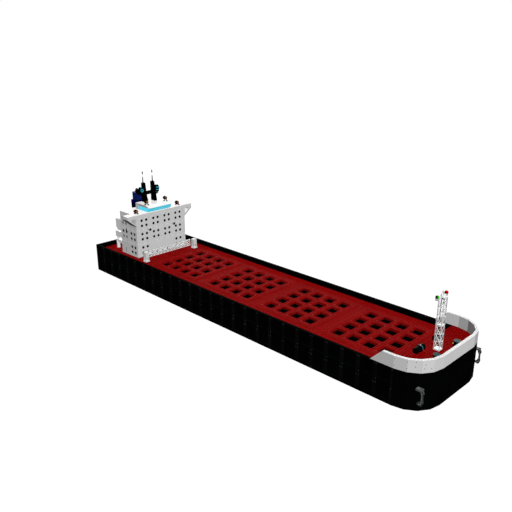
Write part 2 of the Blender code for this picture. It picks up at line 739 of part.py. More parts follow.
def build_starboard_radar(name, x, y, seat):
    """A barrel lying athwart, with a flared outer end, a boss towards the bow and a sensor on top."""
    level = seat + BARREL_RISE
    body = turned(name, (x, y, level), "y", BARREL, 14, BLACK)
    spindle = turned(f"{name}_spindle", (x, y, seat), "z",
                     ((0.0, SPINDLE_RADIUS), (BARREL_RISE, SPINDLE_RADIUS)), 10, BLACK)
    boss = turned(f"{name}_boss", (x, y + BOSS_SHIFT, level), "x", BOSS, 14, BLACK)
    sensor = turned(f"{name}_sensor", (x, y + SENSOR_SHIFT, level), "z", SENSOR, 10, BLACK)
    shaped(body, "UNION", spindle, boss, sensor)


def build_port_radar(name, x, y, seat):
    """An upright drum with two bands, on a short spindle."""
    plain = DRUM_BODY_RADIUS
    band = DRUM_BAND_RADIUS
    profile = [(0.0, SPINDLE_RADIUS), (0.2, SPINDLE_RADIUS), (0.25, 0.7), (0.6, plain)]
    for level in (1.15, 2.2):
        profile += [(level, plain), (level, band), (level + 0.45, band), (level + 0.45, plain)]
    profile += [(2.95, plain), (3.3, 0.7), (3.4, 0.4)]
    turned(name, (x, y, seat), "z", profile, 16, BLACK)


def build_radars():
    builders = {"starboard": build_starboard_radar, "port": build_port_radar}
    for label, side, radar_y, arm_low in RADARS:
        seat = arm_low + RADAR_ARM_THICK
        builders[label](f"radar_scanner_{label}", RADAR_X, side * radar_y, seat)


def build_funnel():
    brick("engine_casing", (CASING_AFT, HOUSE_AFT), (-CASING_HALF, CASING_HALF), (DECK_TOP, CASING_TOP), WHITE)
    upper = (FUNNEL_AFT, FUNNEL_FRONT, FUNNEL_HALF)
    lower = (FUNNEL_AFT - FUNNEL_LEDGE, FUNNEL_FRONT + FUNNEL_LEDGE, FUNNEL_HALF + FUNNEL_LEDGE)
    brick("funnel_base", lower[:2], (-lower[2], lower[2]), (CASING_TOP, FUNNEL_BAND_TOP), BLACK)
    stacked("funnel", ((FUNNEL_BAND_TOP, *lower), (FUNNEL_STEP, *lower),
                       (FUNNEL_STEP, *upper), (FUNNEL_TOP, *upper)), BLUE)


def round_casing(aft):
    """Grid lines of a deck that fits round the engine casing."""
    xs = [aft, CASING_AFT - HALF_GAP, HOUSE_AFT - HALF_GAP]
    return xs, mirrored((CASING_HALF + HALF_GAP, AFT_DECK_HALF))


def build_aft_decks():
    def clear_of_casing(i, j, k):
        return i == 0 or j != 1

    aft, low, high = LOWER_DECK
    xs, ys = round_casing(aft)
    lower = cells("aft_deck_lower", xs, ys, storey(low, high), clear_of_casing, WHITE)
    columns = [turned(f"aft_column_{label}", (COLUMN_X, side * COLUMN_Y, DECK_TOP), "z",
                      ((0.0, COLUMN_RADIUS), (low - DECK_TOP + PLATE, COLUMN_RADIUS)), 16, WHITE)
               for label, side in SIDES]
    shaped(lower, "UNION", *columns)

    seat = high
    aft, low, high = MIDDLE_DECK
    xs, ys = round_casing(aft)
    middle = cells("aft_deck_middle", xs, ys, storey(low, high), clear_of_casing, WHITE)
    props = [turned(f"aft_prop_{label}", (COLUMN_X, side * COLUMN_Y, seat), "z",
                    ((0.0, PROP_RADIUS), (low - seat + PLATE, PROP_RADIUS)), 12, WHITE)
             for label, side in SIDES]
    shaped(middle, "UNION", *props)

    seat = high
    aft, low, high = UPPER_DECK
    xs, ys = round_casing(aft)
    xs.insert(1, UPPER_STEP_X)

    def stepped(i, j, k):
        if i == 0:
            return k == 1
        return i == 1 or j != 1

    upper = cells("aft_deck_upper", xs, ys, [low, UPPER_STEP_Z, high - GAP], stepped, WHITE)
    props = [turned(f"upper_prop_{label}", (HOUSE_AFT - 1.5, side * COLUMN_Y, seat), "z",
                    ((0.0, PROP_RADIUS), (low - seat + PLATE, PROP_RADIUS)), 12, WHITE)
             for label, side in SIDES]
    shaped(upper, "UNION", *props)


def build_rail():
    """A grille on a sole across the front of the house, and a post with arched feet ahead of each end."""
    count = round((RAIL_PORT - RAIL_STARBOARD) / BALUSTER)
    bars = [RAIL_STARBOARD + n * BALUSTER for n in range(count + 1)]

    def grille(i, j, k):
        opening = k == 1 and j % 2 == 1 and j < count - 1
        return not opening

    cells("deck_rail", [RAIL_AFT, RAIL_FRONT], bars, [DECK_TOP, RAIL_SOLE, RAIL_BEAM, RAIL_TOP], grille, WHITE)

    steps = (-POST_FOOT, -POST_HALF, -POST_ARCH, POST_ARCH, POST_HALF, POST_FOOT)
    xs = [POST_X + step for step in steps]

    def post(i, j, k):
        if k == 0:
            return True
        arch = k == 1 and (i == 2 or j == 2)
        return 0 < i < 4 and 0 < j < 4 and not arch

    for label, side in SIDES:
        ys = [side * POST_Y + step for step in steps]
        cells(f"rail_post_{label}", xs, ys, [DECK_TOP, POST_SOLE, POST_FRAME, POST_TOP], post, WHITE)


def build_lamps():
    for kind, x, y, level in LAMPS:
        for label, side in SIDES:
            searchlight(f"{kind}_{label}", x, side * y, level, LAMP_AXIS, LAMP_SIZE, ORANGE)


build_hull()
build_decks()
build_bulwark()
build_foremast()
build_deck_gear()
build_anchors()
build_house()
build_wheelhouse()
build_masts()
build_radars()
build_funnel()
build_aft_decks()
build_rail()
build_lamps()
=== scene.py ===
# The looks of a brick-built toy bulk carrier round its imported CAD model.
# Lengths are studs of 8 mm, and each mesh is scaled to metres when it is finished.
# +X runs to the bow, +Y to port and +Z up, as in the CAD.
from math import atan2, cos, hypot, pi, radians, sin

import bmesh
import bpy
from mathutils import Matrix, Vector


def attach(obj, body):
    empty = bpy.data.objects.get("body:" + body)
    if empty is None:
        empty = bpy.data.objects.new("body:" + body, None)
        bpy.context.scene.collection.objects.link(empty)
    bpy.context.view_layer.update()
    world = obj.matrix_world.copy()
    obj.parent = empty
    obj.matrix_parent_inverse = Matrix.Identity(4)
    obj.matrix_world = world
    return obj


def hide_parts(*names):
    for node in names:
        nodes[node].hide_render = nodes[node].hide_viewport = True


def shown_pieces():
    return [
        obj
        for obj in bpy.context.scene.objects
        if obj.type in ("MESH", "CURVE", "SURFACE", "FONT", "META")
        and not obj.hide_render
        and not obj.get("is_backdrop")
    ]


STUD = 0.008
HANDS = (("starboard", -1), ("port", 1))

# A stud: radius, height, chamfer of its top edge and how deep its foot is sunk
TUBE = 0.3
TUBE_RISE = 0.15
TUBE_SIDES = 10
TUBE_EDGE = 0.03
SINK = 0.03

# Light: the sky, the share of the key light that casts shadows, and the way to each light, whose length is
# its strength
SKY = 0.07
SHADOWED = 0.06
KEY = (0.6, -0.38, 1.05)
KEY_SPREAD = 30
FILL = (-0.3, 0.33, 0.12)
FILL_SPREAD = 60

# Camera: place in metres, degrees it is tilted up from straight down and turned, lens and sensor in mm
CAMERA_SPOT = (1.2312, -1.2350, 0.79614)
CAMERA_TILT = 70.5288
CAMERA_TURN = 45
CAMERA_LENS = 43.456
CAMERA_SENSOR = 36

# How far the floor reaches each way, in metres
FLOOR = 60

# Noise as scale, detail and roughness: flow in the colour, ripple on the surface, and marks in the gloss,
# whose scale goes with each plastic
FLOW = (14, 5, 0.6)
RIPPLE = (260, 3, 0.5)
RIPPLE_DEPTH = 0.0004
MARKS = (8, 0.7)

# Faces that meet at less than this angle are shaded as one
SMOOTH_ANGLE = 32

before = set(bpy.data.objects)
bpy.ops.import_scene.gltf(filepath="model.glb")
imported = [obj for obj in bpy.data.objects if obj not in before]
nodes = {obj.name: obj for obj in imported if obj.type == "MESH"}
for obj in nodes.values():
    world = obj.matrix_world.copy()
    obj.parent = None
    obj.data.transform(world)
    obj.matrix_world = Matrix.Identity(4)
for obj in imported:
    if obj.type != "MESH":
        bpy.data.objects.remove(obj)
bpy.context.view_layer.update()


# Materials

def grown(tree, kind, place):
    """A new node at a place in the tree."""
    node = tree.nodes.new(kind)
    node.location = place
    return node


def put(node, socket, value):
    """Set a constant value on a socket of a node."""
    node.inputs[socket].default_value = value


def wire(tree, source, output, target, socket):
    """Link an output of one node to a socket of another."""
    tree.links.new(source.outputs[output], target.inputs[socket])


def noise(tree, place, height, scale, detail, roughness):
    """A noise node laid over the object."""
    node = grown(tree, "ShaderNodeTexNoise", (-800, height))
    put(node, "Scale", scale)
    put(node, "Detail", detail)
    put(node, "Roughness", roughness)
    wire(tree, place, "Object", node, "Vector")
    return node


def plastic(name, colour, shade=0.06, specular=0.5, gloss=(0.18, 0.34), ripple=0.04, grain=90,
            transmission=0, glow=0):
    """Moulded plastic with flow in its colour, marks in its gloss and a slight ripple. It can also glow, as
    painted light.
    """
    material = bpy.data.materials.new(name)
    material.use_nodes = True
    tree = material.node_tree
    shader = tree.nodes["Principled BSDF"]
    put(shader, "Metallic", 0)
    put(shader, "IOR", 1.5)
    put(shader, "Specular IOR Level", specular)
    put(shader, "Transmission Weight", transmission)
    if glow:
        put(shader, "Emission Color", (*colour, 1))
        put(shader, "Emission Strength", glow)
    place = grown(tree, "ShaderNodeTexCoord", (-1100, 0))
    flow = noise(tree, place, 300, *FLOW)
    ramp = grown(tree, "ShaderNodeValToRGB", (-500, 300))
    low, high = ramp.color_ramp.elements
    low.position = 0.3
    low.color = (*[channel * (1 - shade) for channel in colour], 1)
    high.position = 0.7
    high.color = (*[min(1, channel * (1 + shade)) for channel in colour], 1)
    wire(tree, flow, "Fac", ramp, "Fac")
    wire(tree, ramp, "Color", shader, "Base Color")
    marks = noise(tree, place, 0, grain, *MARKS)
    span = grown(tree, "ShaderNodeMapRange", (-500, 0))
    put(span, "To Min", gloss[0])
    put(span, "To Max", gloss[1])
    wire(tree, marks, "Fac", span, "Value")
    wire(tree, span, "Result", shader, "Roughness")
    swell = noise(tree, place, -300, *RIPPLE)
    bump = grown(tree, "ShaderNodeBump", (-500, -300))
    put(bump, "Strength", ripple)
    put(bump, "Distance", RIPPLE_DEPTH)
    wire(tree, swell, "Fac", bump, "Height")
    wire(tree, bump, "Normal", shader, "Normal")
    return material


# Plastics as name, colour, shade and specular, and first the settings that several share
DULL = {"specular": 0.001, "gloss": (0.3, 0.5)}
STEP = {"specular": 0.004, "shade": 0.12}
CLEAR = {"gloss": (0.06, 0.14), "transmission": 0.05}
LENS = {"specular": 0.005, **CLEAR}

BLACK = plastic("black_plastic", (0.0012, 0.0013, 0.0014), 0.3, **DULL)
# A paler black for the side posts of the hull panels, as painted highlights.
HIGHLIGHT_BLACK = plastic("black_plastic_painted_highlight", (0.0042, 0.0043, 0.0045), 0.5, **DULL)
DRUM_BLACK = plastic("glossy_black_plastic", (0.0015, 0.0015, 0.0016), 0.3, 0.01, (0.2, 0.3))
INSIDE = plastic("hollow_dark", (0.0006, 0.001, 0.001), 0.3, 0, (0.5, 0.7))
# Near black for the bores and panes of the round windows, as painted shade from inside the house; the dark
# knobs on the house use it too.
PANE = plastic("window_pane", (0.0008, 0.0008, 0.001), 0.2, 0.002, (0.1, 0.2))
UNDER = plastic("under_shadow_plastic", (0.012, 0.012, 0.014), 0.25, 0.01)
SHADE = plastic("shaded_grey_plastic", (0.045, 0.045, 0.048), 0.25, 0.05)
ANCHOR_GREY = plastic("anchor_grey_plastic", (0.05, 0.052, 0.055), 0.6, 0.3, grain=200)
GREY = plastic("dark_grey_plastic", (0.11, 0.112, 0.115), 0.35, 0.6)
PALE_PANE = plastic("pale_window_pane", (0.22, 0.22, 0.22), 0.1, 0.1, (0.2, 0.3))
MID_GREY = plastic("mid_grey_plastic", (0.55, 0.55, 0.56), 0.08, 0.2)
WHITE = plastic("white_plastic", (0.76, 0.76, 0.76), 0.015, 0.2)
TILE_WHITE = plastic("tile_white_plastic", (0.79, 0.775, 0.77), 0.03, 0.02)
# A brighter white on bulwark faces that look up, ahead or inward, as painted light.
LIT_RIM_WHITE = plastic("rim_white_painted_light", (0.83, 0.83, 0.83), 0.02, 0.2)
# A brighter white, as painted light, on the inner faces of the bulwark sides and on the decks behind the
# house.
LIT_WHITE = plastic("white_plastic_painted_light", (0.89, 0.89, 0.89), 0.02, 0.2)
# A brighter white, as painted light: lit faces of the foremast towers and of the rail, and highlights on
# rivets, knobs and the windlass rings.
HIGHLIGHT_WHITE = plastic("white_plastic_painted_highlight", (0.95, 0.95, 0.95), 0.01, 0.2)
RED = plastic("dark_red_plastic", (0.175, 0.0001, 0.0001), 0.05, 0.004)
# A paler red, as a painted sheen on the middle of the deck, its hatch grids and their studs.
SHEEN_RED = plastic("red_plastic_painted_sheen", (0.2, 0.0015, 0.0015), 0.07, 0.004)
# Brighter reds for the edges of the hatch grids and the walls of their openings, as painted light on those
# faces.
LIT_OPENING_RED = plastic("opening_wall_red_painted_light", (0.235, 0.003, 0.003), **STEP)
LIT_RED_AHEAD = plastic("red_plastic_painted_light_ahead", (0.3, 0.006, 0.006), **STEP)
LIT_RED_BESIDE = plastic("red_plastic_painted_light_beside", (0.4, 0.009, 0.009), **STEP)
# Pale red for small glints painted at the corners of the hatch openings.
GLINT_PINK = plastic("pale_red_painted_glint", (0.34, 0.09, 0.09), 0.1, 0.1)
FAWN = plastic("fawn_plastic", (0.6, 0.43, 0.39), 0.12, 0.1)
DEEP_BLUE = plastic("deep_blue_plastic", (0.0006, 0.0008, 0.035), 0.5, 0.01)
BLUE = plastic("dark_blue_plastic", (0.005, 0.015, 0.13), 0.25, 0.04)
PALE_BLUE = plastic("edge_blue_plastic", (0.035, 0.06, 0.24), 0.12, 0.3)
TEAL = plastic("teal_grey_plastic", (0.022, 0.05, 0.05), 0.3, 0.1)
RING_TEAL = plastic("ring_teal_plastic", (0.03, 0.22, 0.24), 0.2, 0.2)
CYAN = plastic("cyan_plastic", (0.05, 0.62, 0.75), 0.08, 0.3)
YELLOW = plastic("yellow_plastic", (0.85, 0.7, 0.02), 0.05)
# The glass glows, as painted light on the wheelhouse windows where little light falls.
GLOWING_GLASS = plastic("clear_blue_plastic", (0.03, 0.31, 0.4), 0.1, 0.3, (0.05, 0.12), transmission=0.05,
                glow=1.45)
GREEN = plastic("clear_green_plastic", (0.0005, 0.58, 0.0005), **LENS)
RED_LENS = plastic("clear_red_plastic", (0.62, 0.0002, 0.0002), **LENS)
ORANGE = plastic("clear_orange_plastic", (0.25, 0.08, 0.014), **CLEAR)


# Mesh helpers

def linked(name, data):
    """A new object in the scene."""
    thing = bpy.data.objects.new(name, data)
    bpy.context.scene.collection.objects.link(thing)
    return thing


def piece(name, shape, material, body="ship", smooth=False):
    """Turn a bmesh in studs into a named piece in metres that rides on a body."""
    bmesh.ops.scale(shape, vec=(STUD, STUD, STUD), verts=shape.verts)
    bmesh.ops.recalc_face_normals(shape, faces=shape.faces)
    mesh = bpy.data.meshes.new(name)
    shape.to_mesh(mesh)
    shape.free()
    if smooth:
        mesh.shade_smooth()
        mesh.set_sharp_from_angle(angle=radians(SMOOTH_ANGLE))
    mesh.materials.append(material)
    thing = linked(name, mesh)
    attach(thing, body)
    return thing


def two_tone(thing, second, chosen):
    """Give a second material to the faces that a test picks."""
    thing.data.materials.append(second)
    for face in thing.data.polygons:
        if chosen(face):
            face.material_index = 1


def softened(thing, width, angle=30):
    """Round off the edges of a piece or node, by a width in studs."""
    bevel = thing.modifiers.new("moulded_edges", "BEVEL")
    bevel.width = width * STUD
    bevel.segments = 2
    bevel.limit_method = "ANGLE"
    bevel.angle_limit = radians(angle)


def around(centre, axis):
    """A function from a distance along an axis and two across it to a point round a centre."""
    x, y, z = centre
    return {
        "x": lambda along, u, v: (x + along, y + u, z + v),
        "y": lambda along, u, v: (x + u, y + along, z + v),
        "z": lambda along, u, v: (x + u, y + v, z + along),
    }[axis]


def ring(shape, place, along, radius, sides, turn=0):
    """A ring of vertices across an axis, turned by a part of one side."""
    angles = [2 * pi * (n + turn) / sides for n in range(sides)]
    return [shape.verts.new(place(along, radius * cos(a), radius * sin(a))) for a in angles]


def joined(shape, first, second):
    """Faces between two rings of as many vertices."""
    faces = []
    for n in range(len(first)):
        m = (n + 1) % len(first)
        faces.append(shape.faces.new([first[n], first[m], second[m], second[n]]))
    return faces


def lathe(shape, centre, axis, profile, sides):
    """Add a turned form: profile rows are (distance along the axis, radius)."""
    place = around(centre, axis)
    rings = [ring(shape, place, along, radius, sides, 0.5) for along, radius in profile]
    for first, second in zip(rings, rings[1:]):
        joined(shape, first, second)
    shape.faces.new(rings[0])
    shape.faces.new(rings[-1])


def turned(name, centre, axis, profile, sides, material, body="ship"):
    """A turned form as a piece of its own."""
    shape = bmesh.new()
    lathe(shape, centre, axis, profile, sides)
    return piece(name, shape, material, body, smooth=True)


def hoop(shape, centre, axis, inner, outer, low, high, sides):
    """Add a closed flat ring round an axis."""
    place = around(centre, axis)
    corners = ((low, outer), (high, outer), (high, inner), (low, inner))
    rings = [ring(shape, place, along, radius, sides) for along, radius in corners]
    for first, second in zip(rings, rings[1:] + rings[:1]):
        joined(shape, first, second)


def box(shape, low, high):
    """Add a closed box between two corners."""
    corners = [shape.verts.new((x, y, z)) for x in (low[0], high[0]) for y in (low[1], high[1])
               for z in (low[2], high[2])]
    for face in ((0, 1, 3, 2), (4, 5, 7, 6), (0, 1, 5, 4), (2, 3, 7, 6), (0, 2, 6, 4), (1, 3, 7, 5)):
        shape.faces.new([corners[n] for n in face])


def rod(shape, start, end, first, last=None, sides=8):
    """Add a closed bar between two points, with a radius at each end."""
    start = Vector(start)
    end = Vector(end)
    along = (end - start).normalized()
    across = along.orthogonal().normalized()
    third = along.cross(across)
    rings = []
    for centre, radius in ((start, first), (end, first if last is None else last)):
        angles = [2 * pi * (n + 0.5) / sides for n in range(sides)]
        rings.append([shape.verts.new(centre + radius * (cos(a) * across + sin(a) * third))
                      for a in angles])
        shape.faces.new(rings[-1])
    joined(shape, *rings)


def peg(shape, spot, axis, low, high, first, last=None, sides=8):
    """Add a closed bar along an axis, from low to high past a spot."""
    place = around(spot, axis)
    rod(shape, place(low, 0, 0), place(high, 0, 0), first, last, sides)


def prism(shape, outline, low, high, axis):
    """Add an outline pushed from low to high along one axis."""
    place = around((0, 0, 0), axis)
    bottom, top = ([shape.verts.new(place(end, u, v)) for u, v in outline] for end in (low, high))
    shape.faces.new(bottom)
    shape.faces.new(top)
    joined(shape, bottom, top)


TUBE_PROFILE = ((-SINK, TUBE), (TUBE_RISE - TUBE_EDGE, TUBE), (TUBE_RISE, TUBE - TUBE_EDGE))


def studs(name, spots, level, material):
    """A field of studs joined in one piece."""
    shape = bmesh.new()
    for x, y in spots:
        lathe(shape, (x, y, level), "z", TUBE_PROFILE, TUBE_SIDES)
    piece(name, shape, material, smooth=True)


def grid_spots(x_low, x_high, y_low, y_high):
    """Stud centres of a rectangle of whole studs."""
    return [(x_low + 0.5 + i, y_low + 0.5 + j) for i in range(round(x_high - x_low))
            for j in range(round(y_high - y_low))]


# Wall panels: chamfer, depth, half a seam, frame and foot of a sunk panel, depth and slope of its middle,
# and how far all of them stand inside the CAD walls
PANEL_EDGE = 0.02
PANEL_DEPTH = 0.94
SEAM = 0.008
PANEL_FRAME = 0.7
PANEL_FOOT = 1.1
PANEL_RECESS = 0.4
DRAFT = 0.08
INSET = 0.02

# A round window: sides, its steps as (radius, how deep), half its cell and half the spread of a pair
WINDOW_SIDES = 16
WINDOW_STEPS = ((0.59, 0), (0.585, 0.01), (0.58, 0.08))
WINDOW_CELL = 1
WINDOW_SPREAD = 1.16


def panel(shape, place, us, vs, windows=(), sunk=False, size=1):
    """Add a closed wall panel with a chamfered front, divided by the lines us and vs.
    Windows are (column, row, material index) of cells with a round window, and size scales them.
    In a sunk panel the middle cell is sunk, and the side posts have the second material; on the hull it is
    a paler black that paints highlights on them."""
    edge = PANEL_EDGE
    across = [us[0] + edge, *us[1:-1], us[-1] - edge]
    up = [vs[0] + edge, *vs[1:-1], vs[-1] - edge]
    front = [[shape.verts.new(place(u, v, 0)) for v in up] for u in across]
    corners = [(us[0], vs[0]), (us[-1], vs[0]), (us[-1], vs[-1]), (us[0], vs[-1])]
    rim = [shape.verts.new(place(u, v, -edge)) for u, v in corners]
    back = [shape.verts.new(place(u, v, -PANEL_DEPTH)) for u, v in corners]
    borders = [[column[0] for column in front], front[-1], [column[-1] for column in reversed(front)],
               list(reversed(front[0]))]
    for n in range(4):
        shape.faces.new([rim[n], rim[(n + 1) % 4], *reversed(borders[n])])
    joined(shape, rim, back)
    shape.faces.new(back)
    glazed = {(column, row): index for column, row, index in windows}
    for i in range(len(across) - 1):
        for j in range(len(up) - 1):
            cell = [front[i][j], front[i + 1][j], front[i + 1][j + 1], front[i][j + 1]]
            if (i, j) in glazed:
                middle = ((us[i] + us[i + 1]) / 2, (vs[j] + vs[j + 1]) / 2)
                window(shape, place, cell, *middle, glazed[(i, j)], size)
            elif sunk and i == j == 1:
                floor = [shape.verts.new(place(u, v, -PANEL_RECESS)) for u, v in (
                    (us[1] + DRAFT, vs[1] + DRAFT), (us[2] - DRAFT, vs[1] + DRAFT),
                    (us[2] - DRAFT, vs[2] - DRAFT), (us[1] + DRAFT, vs[2] - DRAFT))]
                shape.faces.new(floor)
                joined(shape, cell, floor)
            else:
                post = shape.faces.new(cell)
                post.material_index = 1 if sunk and i != 1 else 0


def window(shape, place, cell, u, v, index, size):
    """Fill a cell round a round window: a rim, a short bore and a pane. Bore and pane take the window's
    material; the near-black one paints the shade inside the house.
    """
    rings = []
    for radius, sunk in WINDOW_STEPS:
        reach = size * radius
        angles = [2 * pi * n / WINDOW_SIDES - radians(135) for n in range(WINDOW_SIDES)]
        rings.append([shape.verts.new(place(u + reach * cos(a), v + reach * sin(a), -sunk))
                      for a in angles])
    quarter = WINDOW_SIDES // 4
    for n in range(4):
        arc = [rings[0][(n * quarter + k) % WINDOW_SIDES] for k in range(quarter + 1)]
        shape.faces.new([cell[n], cell[(n + 1) % 4], *reversed(arc)])
    joined(shape, rings[0], rings[1])
    for face in joined(shape, rings[1], rings[2]) + [shape.faces.new(rings[2])]:
        face.material_index = index


# Levels and lines of the ship, as in the CAD
HOLD_FLOOR = 9.6
DECK = 10
GRID = 10.4
FORE = 12
BULWARK = 16
STERN = -83
BOW = 83
SIDE = 19
TURN_X = 73
TURN_Y = 9
PANEL = 6
SIDE_PANELS = 26
HOUSE_FRONT = -59
HOUSE_AFT = -71
HOUSE_HALF = 13
HOUSE_TOP = 28.8
STOREYS = (21.6, 15.6, 10)
POST_X = -53
POST_Y = 13

# Hatch grids: their middles, half their width, and the openings from the first strip on
HATCHES = (-35, -5, 25, 55)
HATCH_HALF = 13
STRIP = 2
OPENING = 4
CELL = STRIP + OPENING

# Masts and gear that the studs leave room for
MAST_X = 76
DRUM_X = 73
DRUM_Y = 5.55
DRUM_Z = 13.15
CAPSTAN_X = 79
CAPSTAN_Y = 6

# Places on the main deck with no studs, as x from and to, y from and to
BARE = [(HOUSE_AFT, HOUSE_FRONT, -HOUSE_HALF, HOUSE_HALF), (-77, HOUSE_AFT, -4, 4), (-58, -56, -13, 14)]
BARE += [(middle - HATCH_HALF, middle + HATCH_HALF, -HATCH_HALF, HATCH_HALF) for middle in HATCHES]
for _, hand in HANDS:
    BARE.append((-79.2, -76.4, hand * 10.5 - 1.4, hand * 10.5 + 1.4))
    BARE.append((POST_X - 1.2, POST_X + 1.2, hand * POST_Y - 1.2, hand * POST_Y + 1.2))

# The lengths of the main deck, which differ a little in colour, as x from and to: the middle and forward
# ones are a paler red as a painted sheen
DECK_LENGTHS = (("aft", -82, -50, RED), ("middle", -50, 10, SHEEN_RED), ("forward", 10, 68, SHEEN_RED),
                ("bow", 68, 71, RED))


# Studs and tiles of the decks

def deck_studs():
    """Studs of the main deck, clear of everything that stands on it."""
    for label, low, high, material in DECK_LENGTHS:
        spots = [(x, y) for x, y in grid_spots(low, high, -18, 18)
                 if not any(aft < x < ahead and right < y < left for aft, ahead, right, left in BARE)]
        studs(f"deck_studs_{label}", spots, DECK, material)


def hatch_studs():
    """Studs on the strips of each hatch grid, and dark ones on the floor under its openings."""
    for n, middle in enumerate(HATCHES):
        strips = []
        hold = []
        for x, y in grid_spots(middle - HATCH_HALF, middle + HATCH_HALF, -HATCH_HALF, HATCH_HALF):
            on_strip = (x - middle + HATCH_HALF) % CELL < STRIP or (y + HATCH_HALF) % CELL < STRIP
            (strips if on_strip else hold).append((x, y))
        studs(f"hatch_studs_{n + 1}", strips, GRID, SHEEN_RED)
        studs(f"hold_studs_{n + 1}", hold, HOLD_FLOOR, INSIDE)


def inside_bow(x, y, inset):
    """Whether a point is inside the bow line set in by some studs."""
    if x < TURN_X or abs(y) < TURN_Y:
        return x < BOW - inset and abs(y) < SIDE - inset
    radius = BOW - TURN_X - inset
    return hypot(x - TURN_X, abs(y) - TURN_Y) < radius * cos(pi / 16)


def fore_studs():
    """Studs of the forecastle, clear of the foremast, the drums and the capstans."""
    spots = []
    for x, y in grid_spots(71, 83, -18, 18):
        mast = abs(x - MAST_X) < 1 and abs(y) < 1
        drum = abs(x - DRUM_X) < 1.3 and 3 < abs(y) < 8.1
        capstan = hypot(x - CAPSTAN_X, abs(y) - CAPSTAN_Y) < 1.5
        if inside_bow(x, y, 1.4) and not (mast or drum or capstan):
            spots.append((x, y))
    studs("forecastle_studs", spots, FORE, RED)


def bulwark_studs():
    """One row of studs along the top of the bulwark: sides, front and round the corners."""
    spots = [(x, side * (SIDE - 0.5)) for x in (69.5, 70.5, 71.5, 72.5) for side in (-1, 1)]
    spots += [(BOW - 0.5, 0.5 - TURN_Y + n) for n in range(18)]
    quarter = radians(90)
    count = round(quarter * 9.5)
    reach = 9.42
    for side in (-1, 1):
        for n in range(count):
            angle = quarter * (n + 0.5) / count
            spots.append((TURN_X + reach * cos(angle), side * (TURN_Y + reach * sin(angle))))
    studs("bulwark_studs", spots, BULWARK, WHITE)


def bridge_tiles():
    """Smooth tiles on the bridge deck, two studs by four, and studs behind the wheelhouse."""
    shape = bmesh.new()
    seam = 0.015
    for i in range(6):
        for j in range(-4, 5):
            x_low = HOUSE_AFT + 2 * i
            x_high = min(x_low + 2, -59.25)
            reach = 13 if x_low < -63 else 17
            y_low = max(4 * j - 2 + 2 * (i % 2), -reach)
            y_high = min(4 * j + 2 + 2 * (i % 2), reach)
            under_wheelhouse = -69 <= x_low < -59.5 and y_low >= -6.5 and y_high <= 6.5
            if under_wheelhouse or y_high - y_low < 0.5:
                continue
            box(shape, (x_low + seam, y_low + seam, HOUSE_TOP - 0.05),
                (x_high - seam, y_high - seam, HOUSE_TOP + 0.02))
    tiles = piece("bridge_tiles", shape, TILE_WHITE)
    softened(tiles, 0.02)
    studs("bridge_studs", grid_spots(-71, -69, -6, 6), HOUSE_TOP + 0.02, WHITE)


deck_studs()
hatch_studs()
fore_studs()
bulwark_studs()
bridge_tiles()


# Hull: each side is a row of separate sunk panels in two courses

# How far the side panels stay off the stern, and the pins of a panel as (level, distance ahead), grey on
# the black as painted highlights
STERN_GAP = 0.012
HULL_PINS = ((5.3, 0.35), (5.3, 5.65), (11.4, 0.35), (11.4, 5.65), (6.6, 0.35))


def build_course(label, level, foot, start, count, place):
    """One course of a wall, as a row of sunk panels."""
    shape = bmesh.new()
    top = foot + PANEL
    vs = (foot + SEAM, foot + PANEL_FOOT, top - PANEL_FRAME, top - SEAM)
    for n in range(count):
        low = max(start + PANEL * n, STERN + STERN_GAP)
        high = start + PANEL * (n + 1)
        us = (low + SEAM, low + PANEL_FRAME, high - PANEL_FRAME, high - SEAM)
        panel(shape, place, us, vs, sunk=True)
    wall = piece(f"hull_panels_{label}_{level}", shape, BLACK)
    # The side posts take the paler black of painted highlights.
    wall.data.materials.append(HIGHLIGHT_BLACK)
    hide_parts(f"hull_{label}_{level}")


def build_hull():
    """Both courses of the sides and of the stern, and grey pins in the sides as painted highlights."""
    for level, foot in (("lower", 0), ("upper", 6)):
        for label, side in HANDS:
            build_course(label, level, foot, STERN, SIDE_PANELS,
                         lambda u, v, w: (u, side * (SIDE - INSET + w), v))
        build_course("stern", level, foot, -18, 6, lambda u, v, w: (STERN + INSET - w, u, v))
        softened(nodes[f"hull_bow_{level}"], PANEL_EDGE)
    pins = bmesh.new()
    for n in range(SIDE_PANELS):
        for level, ahead in HULL_PINS:
            for side in (-1, 1):
                spot = (STERN + PANEL * n + ahead, side * SIDE, level)
                peg(pins, spot, "y", -0.1 * side, -0.019 * side, 0.11, sides=6)
    piece("hull_pin_highlights", pins, GREY)


build_hull()


# House: three storeys of panels, most of them with four round windows

# Middles of the panels with windows, by storey from the top, and the pairs whose panes are pale
FRONT_WINDOWS = {0: (-9, -3, 3, 9), 1: (-9, -3, 3, 9), 2: (-9, 9)}
SIDE_WINDOWS = {0: (-68,), 1: (-68, -62), 2: (-62,)}
PALE_PAIRS = ((-68, 0), (-68, 1))


def house_panel(shape, place, middle, storey, windows, size):
    """One panel of the house; windows says whether it has its four windows."""
    low = STOREYS[storey]
    high = low + PANEL if storey < 2 else STOREYS[1]
    left, right = middle - 3 + SEAM, middle + 3 - SEAM
    if not windows:
        panel(shape, place, (left, right), (low + SEAM, high - SEAM))
        return
    centre = high - 2.6
    us = [left]
    vs = [low + SEAM]
    for way in (-WINDOW_SPREAD, WINDOW_SPREAD):
        us += [middle + way - WINDOW_CELL, middle + way + WINDOW_CELL]
        vs += [centre + way - WINDOW_CELL, centre + way + WINDOW_CELL]
    panes = []
    for column in (1, 3):
        for row in (1, 3):
            pale = row == 1 and (middle, storey) in PALE_PAIRS
            panes.append((column, row, 2 if pale else 1))
    panel(shape, place, [*us, right], [*vs, high - SEAM], panes, size=size)


